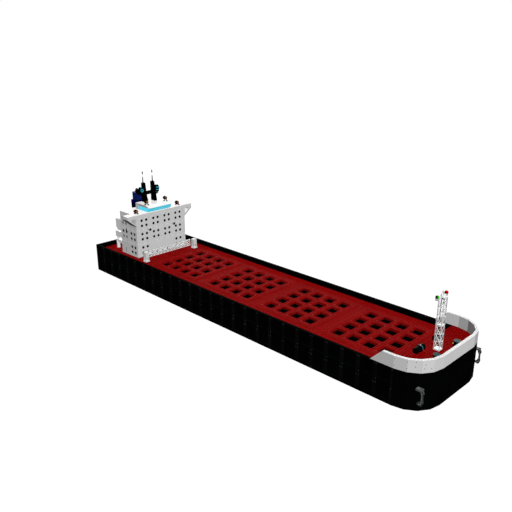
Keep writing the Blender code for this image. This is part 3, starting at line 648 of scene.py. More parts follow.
def build_wall(label, middles, place, windows, size=1):
    """One wall of the house."""
    shape = bmesh.new()
    for storey in range(3):
        for middle in middles:
            house_panel(shape, place, middle, storey, middle in windows.get(storey, ()), size)
    wall = piece(f"house_panels_{label}", shape, WHITE)
    # The window bores and most panes are near black, as painted shade.
    wall.data.materials.append(PANE)
    wall.data.materials.append(PALE_PANE)
    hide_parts(f"house_{label}_wall")


build_wall("front", (-9, -3, 3, 9), lambda u, v, w: (HOUSE_FRONT + w - INSET, u, v), FRONT_WINDOWS)
build_wall("aft", (-9, -3, 3, 9), lambda u, v, w: (HOUSE_AFT - w + INSET, u, v), {})
for hand, way in HANDS:
    build_wall(hand, (-68, -62), lambda u, v, w: (u, way * (HOUSE_HALF + w - INSET), v), SIDE_WINDOWS, 1.1)


# Bulwark: two sloping sides, four facets round each corner and the flat front, with pin holes

# Gap at each joint, outer reach of the facets from the middle of their turn, and radius of a pin hole
BULWARK_GAP = 0.012
BOW_REACH = 9.965
PIN = 0.13
# Pin holes as facet, part of the way along it and level
PIN_SPOTS = ((0, 0.03, 15.2), (0, 0.03, 13.1), (0, 0.97, 15.2), (0, 0.97, 13.2), (1, 0.6, 15.4),
             (1, 0.57, 13.9), (2, 0.3, 14.6), (2, 0.24, 13.4), (2, 0.78, 13.3))


def bow_point(facet, side, reach):
    """A corner of the faceted bow line, on one side, at a distance from the middle of its turn."""
    angle = radians(90 - 22.5 * facet)
    return (TURN_X + reach * cos(angle), side * (TURN_Y + reach * sin(angle)))


def build_planks(pins):
    """The sloping sides, and the pin holes of the corners beside them."""
    ahead = TURN_X - BULWARK_GAP
    for label, side in HANDS:
        shape = bmesh.new()
        line = [(65, FORE), (ahead, FORE), (ahead, BULWARK), (69, BULWARK)]
        prism(shape, line, side * (SIDE - 1), side * (SIDE - INSET), "y")
        plank = piece(f"bulwark_plank_{label}", shape, WHITE)
        # The inner faces take a brighter white as painted light.
        two_tone(plank, LIT_WHITE, lambda face: face.normal.y * side < -0.9)
        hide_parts(f"bulwark_side_{label}")
        softened(plank, 0.06)
        for facet, part, level in PIN_SPOTS:
            start = Vector((*bow_point(facet, side, BOW_REACH), level))
            end = Vector((*bow_point(facet + 1, side, BOW_REACH), level))
            outward = (Vector((end.y - start.y, start.x - end.x, 0)) * -side).normalized()
            spot = start.lerp(end, part)
            rod(pins, spot - 0.1 * outward, spot + 0.008 * outward, PIN, sides=10)


def build_bulwark():
    """The whole bulwark. Faces of its front part that look up, ahead or inward are a brighter white, as
    painted light.
    """
    gap = BULWARK_GAP
    pins = bmesh.new()
    build_planks(pins)
    shape = bmesh.new()
    for side in (-1, 1):
        for facet in range(4):
            corners = [bow_point(facet, side, BOW_REACH), bow_point(facet + 1, side, BOW_REACH),
                       bow_point(facet + 1, side, 9), bow_point(facet, side, 9)]
            middle = Vector(corners[0]).lerp(Vector(corners[2]), 0.5)
            outline = [tuple(Vector(corner).lerp(middle, gap / 4)) for corner in corners]
            prism(shape, outline, FORE, BULWARK, "z")
    for n in range(3):
        low = PANEL * n - TURN_Y + gap
        high = PANEL * (n + 1) - TURN_Y - gap
        box(shape, (BOW - 1, low, FORE), (BOW - INSET, high, BULWARK))
    rim = piece("bulwark_segments", shape, WHITE)

    def lighter(face):
        inward = Vector(((TURN_X - 10) * STUD - face.center.x, -face.center.y, 0)).normalized()
        return face.normal.x > 0.99 or face.normal.dot(inward) > 0.5

    two_tone(rim, LIT_RIM_WHITE, lighter)
    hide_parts("bulwark_bow")
    softened(rim, 0.04, 50)
    piece("bulwark_pins", pins, SHADE)


build_bulwark()


# Foremast: two square towers of crossed bars, with a head that carries two side lamps

# Where a corner post is from the middle, half its width, radius of a bar, and crosses in a wall
MAST_POST = 0.88
POST_HALF = 0.1
MAST_BAR = 0.075
TOWER_CROSSES = 3
# Towers as label, foot, top, height of the solid foot and second material, which paints shade on the faces
# that look inward
TOWERS = (("lower", 12, 20.4, 0.45, UNDER), ("upper", 20.4, 28.8, 0, GREY))
LAMP_X = 75.5
LAMP_Y = 2.65
LAMP_Z = 29.45
# Side lamps as label, side, lens, its slot and how deep the rim is
SIDE_LAMPS = (("starboard", -1, GREEN, "clear_green", 0.27), ("port", 1, RED_LENS, "clear_red", 0))


def build_tower(label, low, high, foot_height, inner):
    """Four posts, a solid foot, a ring under the top and three crosses in each wall.
    The outer faces are a brighter white as painted light, and the faces that look inward are dark as
    painted shade."""
    shape = bmesh.new()
    corners = [(MAST_X + a * MAST_POST, b * MAST_POST) for a, b in ((-1, -1), (1, -1), (1, 1), (-1, 1))]
    for x, y in corners:
        box(shape, (x - POST_HALF, y - POST_HALF, low), (x + POST_HALF, y + POST_HALF, high - 0.01))
    if foot_height:
        box(shape, (MAST_X - 0.98, -0.98, low), (MAST_X + 0.98, 0.98, low + foot_height))
        box(shape, (MAST_X - 0.95, -0.95, high - 0.6), (MAST_X + 0.95, 0.95, high - 0.3))
    pitch = (high - 0.6 - low - foot_height) / TOWER_CROSSES
    for n in range(TOWER_CROSSES):
        foot = low + foot_height + n * pitch
        head = foot + pitch
        for first, second in zip(corners, corners[1:] + corners[:1]):
            rod(shape, (*first, foot), (*second, head - 0.1), MAST_BAR, sides=6)
            rod(shape, (*second, foot), (*first, head - 0.1), MAST_BAR, sides=6)
            if n < TOWER_CROSSES - 1:
                rod(shape, (*first, head - 0.05), (*second, head - 0.05), MAST_BAR, sides=6)
    for near, far in ((-1, -0.76), (0.76, 1)):
        box(shape, (MAST_X - 1, near, high - 0.3), (MAST_X + 1, far, high - 0.01))
        box(shape, (MAST_X + near, -0.8, high - 0.3), (MAST_X + far, 0.8, high - 0.01))
    tower = piece(f"foremast_tower_{label}", shape, HIGHLIGHT_WHITE)

    def inside(face):
        inward = Vector((MAST_X * STUD - face.center.x, -face.center.y, 0))
        return inward.length > 0.5 * STUD and face.normal.dot(inward.normalized()) > 0.35

    two_tone(tower, inner, inside)
    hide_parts(f"foremast_{label}")


def build_crosstree():
    """The plate on top of the mast, with its studs, lamp arms and hoop, and the dark sockets in it."""
    shape = bmesh.new()
    box(shape, (MAST_X - 1, -1, 28.8), (MAST_X + 1, 1, 29.1))
    lathe(shape, (MAST_X, 0, 29.1), "z", ((-0.05, 0.62), (0.06, 0.62), (0.1, 0.58)), 14)
    for a in (-0.5, 0.5):
        for b in (-0.5, 0.5):
            lathe(shape, (MAST_X + a, b, 29.1), "z", ((-0.03, 0.2), (0.08, 0.2), (0.1, 0.17)), 8)
    dish = ((-0.02, 0.5), (0.08, 0.55), (0.22, 0.62), (0.24, 0.5), (0.12, 0.3))
    for side in (-1, 1):
        ends = sorted((side, side * 3.1))
        box(shape, (LAMP_X - 0.4, ends[0], 28.5), (LAMP_X + 0.4, ends[1], 28.75))
        lathe(shape, (LAMP_X, side * LAMP_Y, 28.75), "z", dish, 14)
        rod(shape, (LAMP_X, side * 1, 28.2), (LAMP_X, side * 2.2, 28.55), 0.12)
        peg(shape, (LAMP_X + 0.1, 0, 28.93), "y", side * 0.8, side * 2.2, 0.24)
    hoop(shape, (MAST_X - 0.2, -0.25, 29.85), "x", 0.6, 0.84, -0.13, 0.13, 16)
    head = piece("foremast_crosstree", shape, WHITE)
    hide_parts("foremast_head")
    softened(head, 0.03)
    shape = bmesh.new()
    peg(shape, (MAST_X - 0.5, 0, 29.1), "z", 0, 0.09, 0.2)
    for ahead, z, radius in ((0.35, 28.88, 0.22), (0.85, 28.62, 0.2), (0.8, 27.8, 0.2)):
        for side in (-1, 1):
            peg(shape, (MAST_X + ahead, 0, z), "y", side * 0.9, side * 1.02, radius)
    peg(shape, (MAST_X, 0.5, 28.3), "x", 0.9, 1.02, 0.2)
    peg(shape, (MAST_X - 0.2, -0.25, 30.68), "z", 0, 0.17, 0.14)
    piece("foremast_head_socket", shape, SHADE)


def build_side_lamps():
    """The green and red lamps; the green one has a deeper rim and a small yellow dot on its lens as a
    painted highlight.
    """
    for label, side, lens, slot, rim in SIDE_LAMPS:
        spot = (LAMP_X, side * LAMP_Y, LAMP_Z)
        shape = bmesh.new()
        hood = ((-0.54, 0.14), (-0.48, 0.34), (-0.3, 0.5), (-0.08, 0.56), (rim, 0.55))
        lathe(shape, spot, "x", hood, 16)
        lathe(shape, (LAMP_X, side * LAMP_Y, 28.85), "z", ((0, 0.2), (0.3, 0.2)), 10)
        shade = piece(f"foremast_lamp_shade_{label}", shape, BLACK, smooth=True)
        bulb = ((rim - 0.02, 0.52), (rim + 0.05, 0.54), (0.38, 0.46), (0.5, 0.34), (0.56, 0.12))
        turned(f"foremast_lamp_lens_{label}", spot, "x", bulb, 16, lens)
        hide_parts(f"foremast_lamp_{label}")
        if label == "starboard":
            # A yellow dot on the green lens, as a painted highlight.
            shape = bmesh.new()
            rod(shape, (LAMP_X + 0.3, 0.1 - LAMP_Y, LAMP_Z + 0.44),
                (LAMP_X + 0.42, 0.14 - LAMP_Y, LAMP_Z + 0.5), 0.13)
            piece("foremast_lamp_highlight", shape, YELLOW)


for tower in TOWERS:
    build_tower(*tower)
build_crosstree()
build_side_lamps()


# Deck gear on the forecastle

# Turned forms as (distance along the axis, radius)
DRUM_END = ((0.25, 1.13), (0.25, 1), (1.4, 1), (1.42, 0.94), (1.48, 0.94), (1.5, 1), (2.1, 0.98),
            (2.3, 0.75), (2.35, 0.6))
DRUM_FORM = [(-along, radius) for along, radius in reversed(DRUM_END)] + list(DRUM_END)
RING_FORM = ((-0.1, 1), (-0.09, 1.11), (0.09, 1.11), (0.1, 1))
CAPSTAN_FORM = ((0, 1.2), (0.2, 1.2), (0.25, 1.02), (1.1, 1.02), (1.2, 1.15), (1.55, 1.15), (1.62, 1.08))
CAP_FORM = ((1.6, 1.12), (1.7, 1.16), (1.78, 1.1), (1.8, 0.9), (1.74, 0.84), (1.74, 0.4), (1.8, 0.35))


def build_deck_gear():
    """Two windlass drums, each with a coloured ring and a white dot on it as a painted highlight, and two
    capstans.
    """
    for label, side in HANDS:
        spot = (DRUM_X, side * DRUM_Y, DRUM_Z)
        drum = turned(f"windlass_{label}", spot, "y", DRUM_FORM, 20, DRUM_BLACK)
        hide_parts(f"windlass_drum_{label}")
        ring_y = side * (DRUM_Y - 0.38)
        spot = (DRUM_X, ring_y, DRUM_Z)
        turned(f"windlass_ring_{label}", spot, "y", RING_FORM, 20, RING_TEAL)
        # A white dot on the ring, as a painted highlight.
        shape = bmesh.new()
        peg(shape, (DRUM_X + 0.15, ring_y, DRUM_Z), "z", 1, 1.15, 0.13)
        piece(f"windlass_highlight_{label}", shape, HIGHLIGHT_WHITE)
        centre = (CAPSTAN_X, side * CAPSTAN_Y, FORE)
        head = turned(f"capstan_body_{label}", centre, "z", CAPSTAN_FORM, 20, BLACK)
        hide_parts(f"capstan_{label}")
        turned(f"capstan_cap_{label}", centre, "z", CAP_FORM, 20, TEAL)
        shape = bmesh.new()
        rod(shape, (CAPSTAN_X - 0.75, side * (CAPSTAN_Y - 1), FORE + 1),
            (CAPSTAN_X - 0.85, side * (CAPSTAN_Y - 1.15), FORE + 1), 0.16)
        piece(f"capstan_mark_{label}", shape, YELLOW)


build_deck_gear()


# Hatch grids: strips in brighter reds on their edges and on the walls of their openings, as painted light,
# and pale pins at the corners as painted glints

FACING = 0.03
PIN_OFFSET = 0.12
OPENING_CORNERS = [(middle - HATCH_HALF + STRIP + CELL * i, -HATCH_HALF + STRIP + CELL * j)
                   for middle in HATCHES for i in range(4) for j in range(4)]


def build_grid_edges():
    """Edge strips round each hatch grid, and on the aft and port walls of its openings, in brighter reds as
    painted light.
    """
    ahead = bmesh.new()
    beside = bmesh.new()
    walls = bmesh.new()
    top = GRID - 0.01
    for middle in HATCHES:
        for side in (-1, 1):
            ends = sorted((side * HATCH_HALF, side * (HATCH_HALF + FACING)))
            box(ahead, (middle + ends[0], -HATCH_HALF, DECK), (middle + ends[1], HATCH_HALF, top))
            box(beside, (middle - HATCH_HALF, ends[0], DECK), (middle + HATCH_HALF, ends[1], top))
    foot = HOLD_FLOOR + 0.05
    for x, y in OPENING_CORNERS:
        box(walls, (x, y, foot), (x + FACING, y + OPENING, top))
        box(walls, (x + FACING, y + OPENING - FACING, foot), (x + OPENING, y + OPENING, top))
    piece("hatch_edges_ahead", ahead, LIT_RED_AHEAD)
    piece("hatch_edges_beside", beside, LIT_RED_BESIDE)
    piece("hatch_opening_walls", walls, LIT_OPENING_RED)


def build_grid_pins():
    """Small pale pins beside two corners of each opening, as painted glints."""
    shape = bmesh.new()
    for x, y in OPENING_CORNERS:
        for way in (-PIN_OFFSET, OPENING + PIN_OFFSET):
            peg(shape, (x + way, y + way, GRID), "z", -0.05, 0.03, 0.1, sides=6)
    piece("hatch_corner_glints", shape, GLINT_PINK)


build_grid_edges()
build_grid_pins()


# House: wing brackets, small fittings on the walls, roof trim

# Outlines of a wing bracket as (y, z): its outer and inner edge, and the dark sheet under it that paints
# the shade of its sloped underside
KNEE_OUTER = ((13.01, 27.58), (16.98, 27.58), (16.98, 27.4), (13.01, 24.1))
KNEE_INNER = ((13.25, 27.35), (15.3, 27.35), (15.3, 26.5), (13.25, 24.8))
KNEE_SHADE = ((13.02, 24.1), (16.95, 27.35), (17, 27.05), (13.02, 23.8))
# Levels of the rivet rows, and a rivet's radius at the wall and at its face
RIVET_ROWS = (27.05, 22.05, 16.05)
RIVET = (0.26, 0.22)


def build_brackets():
    """An open bracket under each bridge wing."""
    for label, side in HANDS:
        shape = bmesh.new()
        loops = [[shape.verts.new((x, side * y, z)) for y, z in line] for line in (KNEE_OUTER, KNEE_INNER)
                 for x in (-62.98, -59.02)]
        for first, second in ((0, 2), (1, 3), (0, 1), (2, 3)):
            joined(shape, loops[first], loops[second])
        knee = piece(f"wing_knee_{label}", shape, WHITE)
        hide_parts(f"wing_bracket_{label}")
        softened(knee, 0.03)
        shape = bmesh.new()
        prism(shape, [(side * y, z) for y, z in KNEE_SHADE], -62.95, -59.05, "x")
        piece(f"wing_knee_shade_{label}", shape, UNDER)


def build_rivets():
    """Rivets along the storeys, one in three of them grey; the others are a brighter white as painted
    highlights.
    """
    rivets = bmesh.new()
    grey = bmesh.new()
    for n in range(26):
        for level in RIVET_ROWS:
            shape = rivets if (n * 7 + round(level)) % 3 else grey
            peg(shape, (HOUSE_FRONT, -12.5 + n, level), "x", -0.1, 0, *RIVET)
    for n in range(12):
        for level in RIVET_ROWS[1:]:
            shape = rivets if (n * 5 + round(level)) % 3 else grey
            for side in (-1, 1):
                peg(shape, (-70.5 + n, side * HOUSE_HALF, level), "y", -0.1 * side, 0, *RIVET)
    piece("house_rivet_highlights", rivets, HIGHLIGHT_WHITE)
    piece("house_rivets_grey", grey, MID_GREY)


def build_knobs():
    """Dark knobs, each with a white dot beside it as a painted glint, on the front and on the starboard
    wall.
    """
    knobs = bmesh.new()
    glints = bmesh.new()
    for y, z in ((-6, 21.3), (6.92, 21.36)):
        peg(knobs, (HOUSE_FRONT, y, z), "x", -0.1, 0.02, 0.62, 0.6, 12)
        peg(knobs, (HOUSE_FRONT, y - 1.05, z + 0.35), "x", -0.1, 0.01, 0.22)
        peg(glints, (HOUSE_FRONT, y - 0.1, z + 0.95), "x", -0.1, 0.02, 0.3)
    peg(knobs, (-66.73, -HOUSE_HALF, 21.2), "y", 0.1, -0.02, 0.5, 0.48, 12)
    peg(knobs, (-65.8, -HOUSE_HALF, 20.3), "y", 0.1, -0.01, 0.26)
    peg(glints, (-66, -HOUSE_HALF, 21.2), "y", 0.1, -0.04, 0.34, 0.3)
    piece("house_knobs", knobs, PANE)
    piece("house_knob_glints", glints, HIGHLIGHT_WHITE)


def build_door_lamps():
    """Small orange lamps and upright bars, on the starboard wall and on the rail."""
    lamps = bmesh.new()
    bars = bmesh.new()
    peg(lamps, (-67.95, -HOUSE_HALF, 11.1), "y", 0.1, -0.03, 0.28, 0.24)
    peg(bars, (-67.85, -HOUSE_HALF + 0.02, 11.6), "z", 0, 1.2, 0.12)
    for y, z in ((-4.5, 11.5), (1, 11.6)):
        peg(lamps, (-56.95, y, z), "x", 0, 0.19, 0.3, 0.26)
        peg(bars, (-56.85, y + 0.1, z), "z", 0.35, 0.9, 0.12)
    piece("door_lamps", lamps, ORANGE)
    piece("door_bars", bars, SHADE)


def build_roof_trim():
    """Trim along both ends of the wheelhouse roof, and low ribs on top of it."""
    shape = bmesh.new()
    line = [(-66.8, 30.62), (-59.1, 30.62), (-59.1, 30.72), (-61.6, 31.42), (-66.8, 31.42)]
    for near, far in ((-6, -5.97), (5.97, 6)):
        prism(shape, line, near, far, "y")
    piece("roof_side_trim", shape, FAWN)
    shape = bmesh.new()
    box(shape, (-68.7, -5.6, 31.49), (-68.5, 5.6, 31.56))
    for y in (-4.4, -0.6, 3.2):
        box(shape, (-64.9, y, 31.49), (-62.3, y + 1.2, 31.54))
    piece("roof_ribs", shape, WHITE)


build_brackets()
build_rivets()
build_knobs()
build_door_lamps()
build_roof_trim()


# Lamps on the bridge wings and on the wheelhouse roof

# Kind, x, y to port, level it stands on and height of its axis over that
LAMPS = (("wing_lamp", -61.3, 11, 28.8, 1), ("roof_lamp", -61.9, 5, 31.5, 1.4))
LAMP_FORM = ((-1.4, 0.3), (-1.32, 0.52), (-1.1, 0.7), (-0.65, 0.8), (0.2, 0.8), (0.3, 0.6))
LAMP_LENS_FORM = ((0.25, 0.5), (0.3, 0.58), (0.55, 0.55), (0.75, 0.4), (0.84, 0.15))
LAMP_FOOT_FORM = ((0, 0.46), (0.14, 0.46), (0.22, 0.3))


def build_lamps():
    """Four lamps on two splayed legs each."""
    for kind, x, reach, level, rise in LAMPS:
        for label, side in HANDS:
            y = side * reach
            z = level + rise
            shape = bmesh.new()
            lathe(shape, (x, y, z), "x", LAMP_FORM, 16)
            rod(shape, (x - 0.7, y, z + 0.5), (x - 0.2, y, z + 0.85), 0.14)
            box(shape, (x - 0.5, y - 0.72, z - 0.5), (x + 0.1, y + 0.72, z - 0.2))
            for ahead, across in ((-0.75, -0.3), (0.5, 0.35)):
                a, b = x + ahead, y + across
                rod(shape, (a, b, level + 0.05), (x + ahead * 0.4, y + across * 0.5, z), 0.16)
                lathe(shape, (a, b, level), "z", LAMP_FOOT_FORM, 12)
            body = piece(f"{kind}_body_{label}", shape, BLACK, smooth=True)
            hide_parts(f"{kind}_{label}")
            turned(f"{kind}_lens_{label}", (x, y, z), "x", LAMP_LENS_FORM, 16, ORANGE)


build_lamps()


# Masts, antennas and radars

MAST_INNER = 1.75
MAST_OUTER = 3.05
MAST_Y = 2.4
MAST_AFT = -68.22
MAST_LEVELS = (31.5, 32.7, 33.9, 35.1, 36.3, 37.5, 38.8, 39.98)
WHIP_FORM = ((0, 0.42), (0.2, 0.42), (0.22, 0.24), (1.2, 0.22), (2.5, 0.18), (2.55, 0.035), (3.75, 0.035),
             (3.8, 0.22), (4.7, 0.24), (4.9, 0.18), (5, 0.08))


def mast_front(level):
    """Where the leaning forward edge of a mast is, which has a bend in it."""
    if level < 35.9:
        return -65.6 - 0.8 * (level - 31.5) / 4.4
    return -66.4 - 0.6 * (level - 35.9) / 4.1


def build_masts():
    """Two masts of stacked bricks with clips, the bar between them, the radar arms and the antennas."""
    shape = bmesh.new()
    for side in (-1, 1):
        y = side * MAST_Y
        for low, high in zip(MAST_LEVELS, MAST_LEVELS[1:]):
            line = [(MAST_AFT, low), (mast_front(low) + 0.14, low), (mast_front(high) + 0.24, high - 0.02),
                    (MAST_AFT, high - 0.02)]
            prism(shape, line, side * MAST_INNER, side * MAST_OUTER, "y")
        for level in (33.4, 37, 38.4):
            peg(shape, (mast_front(level), y, level), "x", -0.1, 0.3, 0.26, sides=10)
        for level in (32.4, 34.4, 38):
            peg(shape, (-67.2, y, level), "y", -0.8 * side, 0.5 * side, 0.26, sides=10)
    box(shape, (-68.1, -2.5, 34.6), (-66.95, 2.5, 35.95))
    for y in (-1, 0, 1):
        lathe(shape, (-67.5, y, 35.9), "z", ((0, 0.28), (0.2, 0.28), (0.23, 0.24)), 10)
    for side, reach, level in ((-1, 5.5, 35.1), (1, 4.65, 34.4)):
        ends = sorted((side * 2.5, side * reach))
        box(shape, (-67.42, ends[0], level), (-66.58, ends[1], level + 0.39))
        rod(shape, (-67, side * 3, level - 1), (-67, side * (reach - 0.5), level + 0.05), 0.2)
    masts = piece("mast_towers", shape, BLACK)
    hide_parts("masts")
    for label, side in HANDS:
        whip = turned(f"antenna_whip_{label}", (-67.5, side * 2.5, 40), "z", WHIP_FORM, 10, BLACK)
        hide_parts(f"antenna_{label}")


RADAR_X = -67
# The starboard radar turns above this point, and its barrel lies athwart above the seat
BARREL_Y = -5.1
BARREL_SEAT = 35.5
BARREL_FORM = ((-1.4, 1.05), (-1.2, 1.05), (-0.7, 0.55), (-0.5, 0.85), (-0.1, 0.95), (1.3, 0.95),
               (1.5, 0.85), (1.65, 0.5))
# The port radar is an upright drum with two bands
SPINNER_Y = 4.25
SPINNER_SEAT = 34.8
SPINNER_FORM = ((0, 0.34), (0.2, 0.34), (0.25, 0.75), (0.6, 0.98), (2.95, 0.98), (3.3, 0.72), (3.4, 0.4))


def build_starboard_radar():
    """A barrel with three prongs, and a blue ring on the side that looks ahead."""
    x, y, seat = RADAR_X, BARREL_Y, BARREL_SEAT
    level = seat + 1.5
    shape = bmesh.new()
    lathe(shape, (x, y, level), "y", BARREL_FORM, 16)
    peg(shape, (x, y, seat), "z", 0, 1.5, 0.36)
    box(shape, (x - 0.6, y - 0.8, seat + 0.1), (x + 0.6, y + 1.5, level - 0.4))
    lathe(shape, (x, y + 0.9, level), "x", ((0.2, 0.72), (0.98, 0.72), (1.04, 0.66)), 16)
    knob = ((0.2, 0.42), (0.9, 0.42), (1.05, 0.55), (1.25, 0.55), (1.38, 0.35))
    lathe(shape, (x, y + 0.5, level), "z", knob, 12)
    for ahead, across, rise in ((-0.3, -1.35, 1.25), (0.1, -1.4, 0.75), (-0.2, -0.9, 1.3)):
        rod(shape, (x, y - 0.6, level + 0.2), (x + ahead, y + across, level + rise), 0.24, 0.16)
    body = piece("radar_barrel_starboard", shape, BLACK, "radar_starboard", smooth=True)
    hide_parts("radar_scanner_starboard")
    shape = bmesh.new()
    hoop(shape, (x, y + 0.9, level), "x", 0.42, 0.72, 1, 1.12, 18)
    rod(shape, (x + 0.5, y + 0.55, level + 1.45), (x + 0.7, y + 0.55, level + 1.5), 0.25)
    piece("radar_ring_starboard", shape, CYAN, "radar_starboard", smooth=True)


def build_port_radar():
    """An upright drum, with two bands that are cyan where they look ahead and black behind, and a cyan
    upright streak and top dot; the cyan is painted highlight.
    """
    x, y, seat = RADAR_X, SPINNER_Y, SPINNER_SEAT
    drum = turned("radar_drum_port", (x, y, seat), "z", SPINNER_FORM, 18, BLACK, "radar_port")
    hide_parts("radar_scanner_port")
    bands = bmesh.new()
    dark = bmesh.new()
    for low, high in ((1.2, 1.5), (2.3, 2.6)):
        for n in range(16):
            start, end = (2 * pi * (n + k) / 16 for k in (0, 1))
            outline = [(x + radius * cos(angle), y + radius * sin(angle))
                       for radius, angle in ((0.94, start), (1.07, start), (1.07, end), (0.94, end))]
            ahead = -0.65 < atan2(sin(start + 0.2), cos(start + 0.2)) < 1.3
            prism(bands if ahead else dark, outline, seat + low, seat + high, "z")
    peg(bands, (x + 0.62, y + 0.86, seat), "z", 1.4, 2.4, 0.12)
    peg(bands, (x + 0.25, y - 0.1, seat), "z", 3.3, 3.4, 0.28)
    piece("radar_band_highlights_port", bands, CYAN, "radar_port")
    piece("radar_hoops_port", dark, BLACK, "radar_port")


build_masts()
build_starboard_radar()
build_port_radar()


# Funnel: a black band, two upright blocks and a rim round three pipes

def build_funnel():
    """The funnel; its lower block is a deeper blue."""
    shape = bmesh.new()
    box(shape, (-76.7, -3.05, 27.2), (-72.2, 3.05, 28.93))
    band = piece("funnel_band", shape, BLACK)
    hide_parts("funnel_base")
    softened(band, 0.05)
    shape = bmesh.new()
    box(shape, (-76.75, -3.1, 28.95), (-72.15, 3.1, 31.08))
    box(shape, (-76.3, -2.5, 31.1), (-72.6, 2.5, 34.3))
    blocks = piece("funnel_blocks", shape, BLUE)
    two_tone(blocks, DEEP_BLUE, lambda face: face.center.z < 31.09 * STUD)
    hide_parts("funnel")
    softened(blocks, 0.06)
    shape = bmesh.new()
    for low, high in (((-76.3, -2.5), (-72.6, -2.25)), ((-76.3, 2.25), (-72.6, 2.5)),
                      ((-76.3, -2.25), (-76.05, 2.25)), ((-72.85, -2.25), (-72.6, 2.25))):
        box(shape, (*low, 34.3), (*high, 34.6))
    piece("funnel_rim", shape, PALE_BLUE)
    shape = bmesh.new()
    for y in (-1.3, 0, 1.3):
        lathe(shape, (-74.45, y, 34.3), "z", ((0, 0.42), (0.26, 0.42), (0.26, 0.3), (0.05, 0.3)), 12)
    piece("funnel_pipes", shape, BLACK)


build_funnel()


# Decks behind the house: studs on their tops

def build_aft_studs():
    """Studs of the three decks; only the upper one shows more than its aft row."""
    upper = [(x, y) for x, y in grid_spots(-79, -71, -11, 11) if abs(y) > 4 and x > -77.4]
    studs("aft_deck_studs_upper", upper, 23.78, WHITE)
    row = grid_spots(-78, -77, -11, 11)
    studs("aft_deck_studs_middle", row, 17.9, WHITE)
    studs("aft_deck_studs_lower", row, 13.88, WHITE)


build_aft_studs()


# Rail across the deck in front of the house: a lace of crossed bars in two planes

RAIL_LOW = -11.6
RAIL_HIGH = 14


def rail_bars(shape, aft, ahead, levels):
    """Level bars over the whole length of the rail, at levels from and to."""
    for low, high in levels:
        box(shape, (aft, RAIL_LOW, low), (ahead, RAIL_HIGH, high))


def lattice(shape, x, bar, cells):
    """One plane of the rail: uprights, and crosses in two rows."""
    low_y = RAIL_LOW + 0.1
    width = (RAIL_HIGH - 0.1 - low_y) / cells
    for n in range(cells + 1):
        y = low_y + n * width
        peg(shape, (x, y, DECK), "z", 0.1, 2.8, bar, sides=6)
        if n == cells:
            continue
        for low, high in ((10.3, 11.5), (11.5, 12.7)):
            rod(shape, (x, y, low), (x, y + width, high), bar, sides=6)
            rod(shape, (x, y + width, low), (x, y, high), bar, sides=6)


def build_rail():
    """The rail's front plane in a brighter white as painted light, its back plane in grey as painted shade,
    and the studs on the posts at its ends.
    """
    shape = bmesh.new()
    rail_bars(shape, -57, -56.82, ((DECK, DECK + 0.18), (12.7, 12.9)))
    for n in range(9):
        box(shape, (-57, -12.3 + 3 * n, 11.4), (-56.82, -11.3 + 3 * n, 11.6))
    lattice(shape, -56.92, 0.09, 14)
    lace = piece("deck_rail_lace", shape, HIGHLIGHT_WHITE)
    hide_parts("deck_rail")
    shape = bmesh.new()
    rail_bars(shape, -57.68, -57.5, ((DECK, DECK + 0.18), (12.55, 12.75)))
    lattice(shape, -57.59, 0.1, 10)
    # The back plane is grey as painted shade.
    piece("deck_rail_back", shape, GREY)
    shape = bmesh.new()
    for side in (-1, 1):
        for a in (-0.42, 0.42):
            for b in (-0.42, 0.42):
                lathe(shape, (POST_X + a, side * POST_Y + b, 14.17), "z",
                      ((0, 0.24), (0.08, 0.24), (0.1, 0.2)), 10)
    piece("rail_post_tops", shape, WHITE)


build_rail()


# Anchors: paler ribs across the shanks as painted glints, as distance ahead of and below the pin

RIBS = ((0.35, 0.85), (0.4, 1.4), (0.4, 1.95), (0.4, 2.5), (0.4, 3.05), (0.38, 3.6), (0.2, 4.15),
        (-0.3, 4.5))


def build_anchor_ribs():
    """Paler ribs, as painted glints, that swing with each anchor."""
    for label, side in HANDS:
        shape = bmesh.new()
        for ahead, below in RIBS:
            peg(shape, (81.2 + ahead, side * 17, 7.6 - below), "y", -0.32, 0.32, 0.12, sides=6)
        piece(f"anchor_glint_ribs_{label}", shape, MID_GREY, f"anchor_swing_{label}")


build_anchor_ribs()


# Finishes of the CAD nodes, and the nodes among them whose edges are softened

UPPER_WORKS = "bridge_deck wheelhouse_wall wheelhouse_roof engine_casing rail_post_starboard rail_post_port"
ANCHORS = "anchor_starboard anchor_port"
FINISHES = (
    (BLACK, "hull_bottom hull_bow_lower hull_bow_upper"),
    (INSIDE, "hold_floor"),
    (RED, "forecastle_deck"),
    # The main deck and the hatch grids take the red with the painted sheen.
    (SHEEN_RED, "main_deck hatch_grid_1 hatch_grid_2 hatch_grid_3 hatch_grid_4"),
    (WHITE, UPPER_WORKS),
    # The decks behind the house are a brighter white, as painted light.
    (LIT_WHITE, "aft_deck_upper aft_deck_middle aft_deck_lower"),
    # The wheelhouse glass glows as painted light.
    (GLOWING_GLASS, "wheelhouse_glass"),
    (ANCHOR_GREY, ANCHORS),
    (GREY, "anchor_bracket_starboard anchor_bracket_port"),
)

for finish, names in FINISHES:
    for name in names.split():
        for slot in nodes[name].material_slots:
            slot.material = finish
        if names in (UPPER_WORKS, ANCHORS):
            softened(nodes[name], 0.05, 50)


# Floor, light and camera

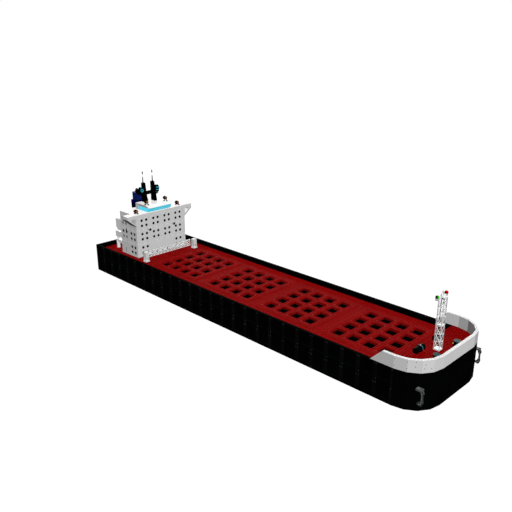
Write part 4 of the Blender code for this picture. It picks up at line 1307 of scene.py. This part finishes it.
def build_stage():
    """A white floor, which lights and mirrors in nothing."""
    mesh = bpy.data.meshes.new("studio_floor")
    corners = [(a * FLOOR, b * FLOOR, 0) for a, b in ((-1, -1), (1, -1), (1, 1), (-1, 1))]
    mesh.from_pydata(corners, [], [(0, 1, 2, 3)])
    floor = linked("studio_floor", mesh)
    mesh.materials.append(plastic("studio_paper", (0.95, 0.95, 0.95), 0.004, 0, (0.9, 1), 0))
    floor.visible_diffuse = False
    floor.visible_glossy = False
    floor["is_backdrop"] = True


def sun(name, towards, strength, spread):
    """A distant light of some strength on a face that looks at it, over a disc of sky of some degrees."""
    lamp = bpy.data.lights.new(name, "SUN")
    lamp.energy = strength * pi
    lamp.angle = radians(spread)
    light = linked(name, lamp)
    light.rotation_mode = "QUATERNION"
    light.rotation_quaternion = Vector(towards).normalized().to_track_quat("Z", "Y")
    return light


def build_light():
    """A white sky that lights little, a key light with a faint shadow and a fill light on the object.
    No piece throws its colour on another."""
    world = bpy.data.worlds.new("studio")
    bpy.context.scene.world = world
    world.use_nodes = True
    tree = world.node_tree
    ground = tree.nodes["Background"]
    put(ground, "Color", (1, 1, 1, 1))
    ray = tree.nodes.new("ShaderNodeLightPath")
    span = tree.nodes.new("ShaderNodeMapRange")
    put(span, "To Min", SKY)
    put(span, "To Max", 1)
    wire(tree, ray, "Is Camera Ray", span, "Value")
    wire(tree, span, "Result", ground, "Strength")
    strength = Vector(KEY).length
    sun("key", KEY, strength * SHADOWED, KEY_SPREAD)
    soft = sun("key_soft", KEY, strength * (1 - SHADOWED), KEY_SPREAD)
    soft.data.use_shadow = False
    object_only = bpy.data.collections.new("object_only")
    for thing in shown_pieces():
        object_only.objects.link(thing)
        thing.visible_diffuse = False
    fill = sun("fill", FILL, Vector(FILL).length, FILL_SPREAD)
    fill.light_linking.receiver_collection = object_only


def build_camera():
    """The view of the photo."""
    lens = bpy.data.cameras.new("view")
    lens.sensor_width = CAMERA_SENSOR
    lens.lens = CAMERA_LENS
    lens.clip_start = 0.05
    lens.clip_end = 200
    camera = linked("view", lens)
    camera.location = CAMERA_SPOT
    camera.rotation_euler = (radians(CAMERA_TILT), 0, radians(CAMERA_TURN))
    bpy.context.scene.camera = camera


build_stage()
build_light()
build_camera()
bpy.context.scene.view_settings.view_transform = "Standard"
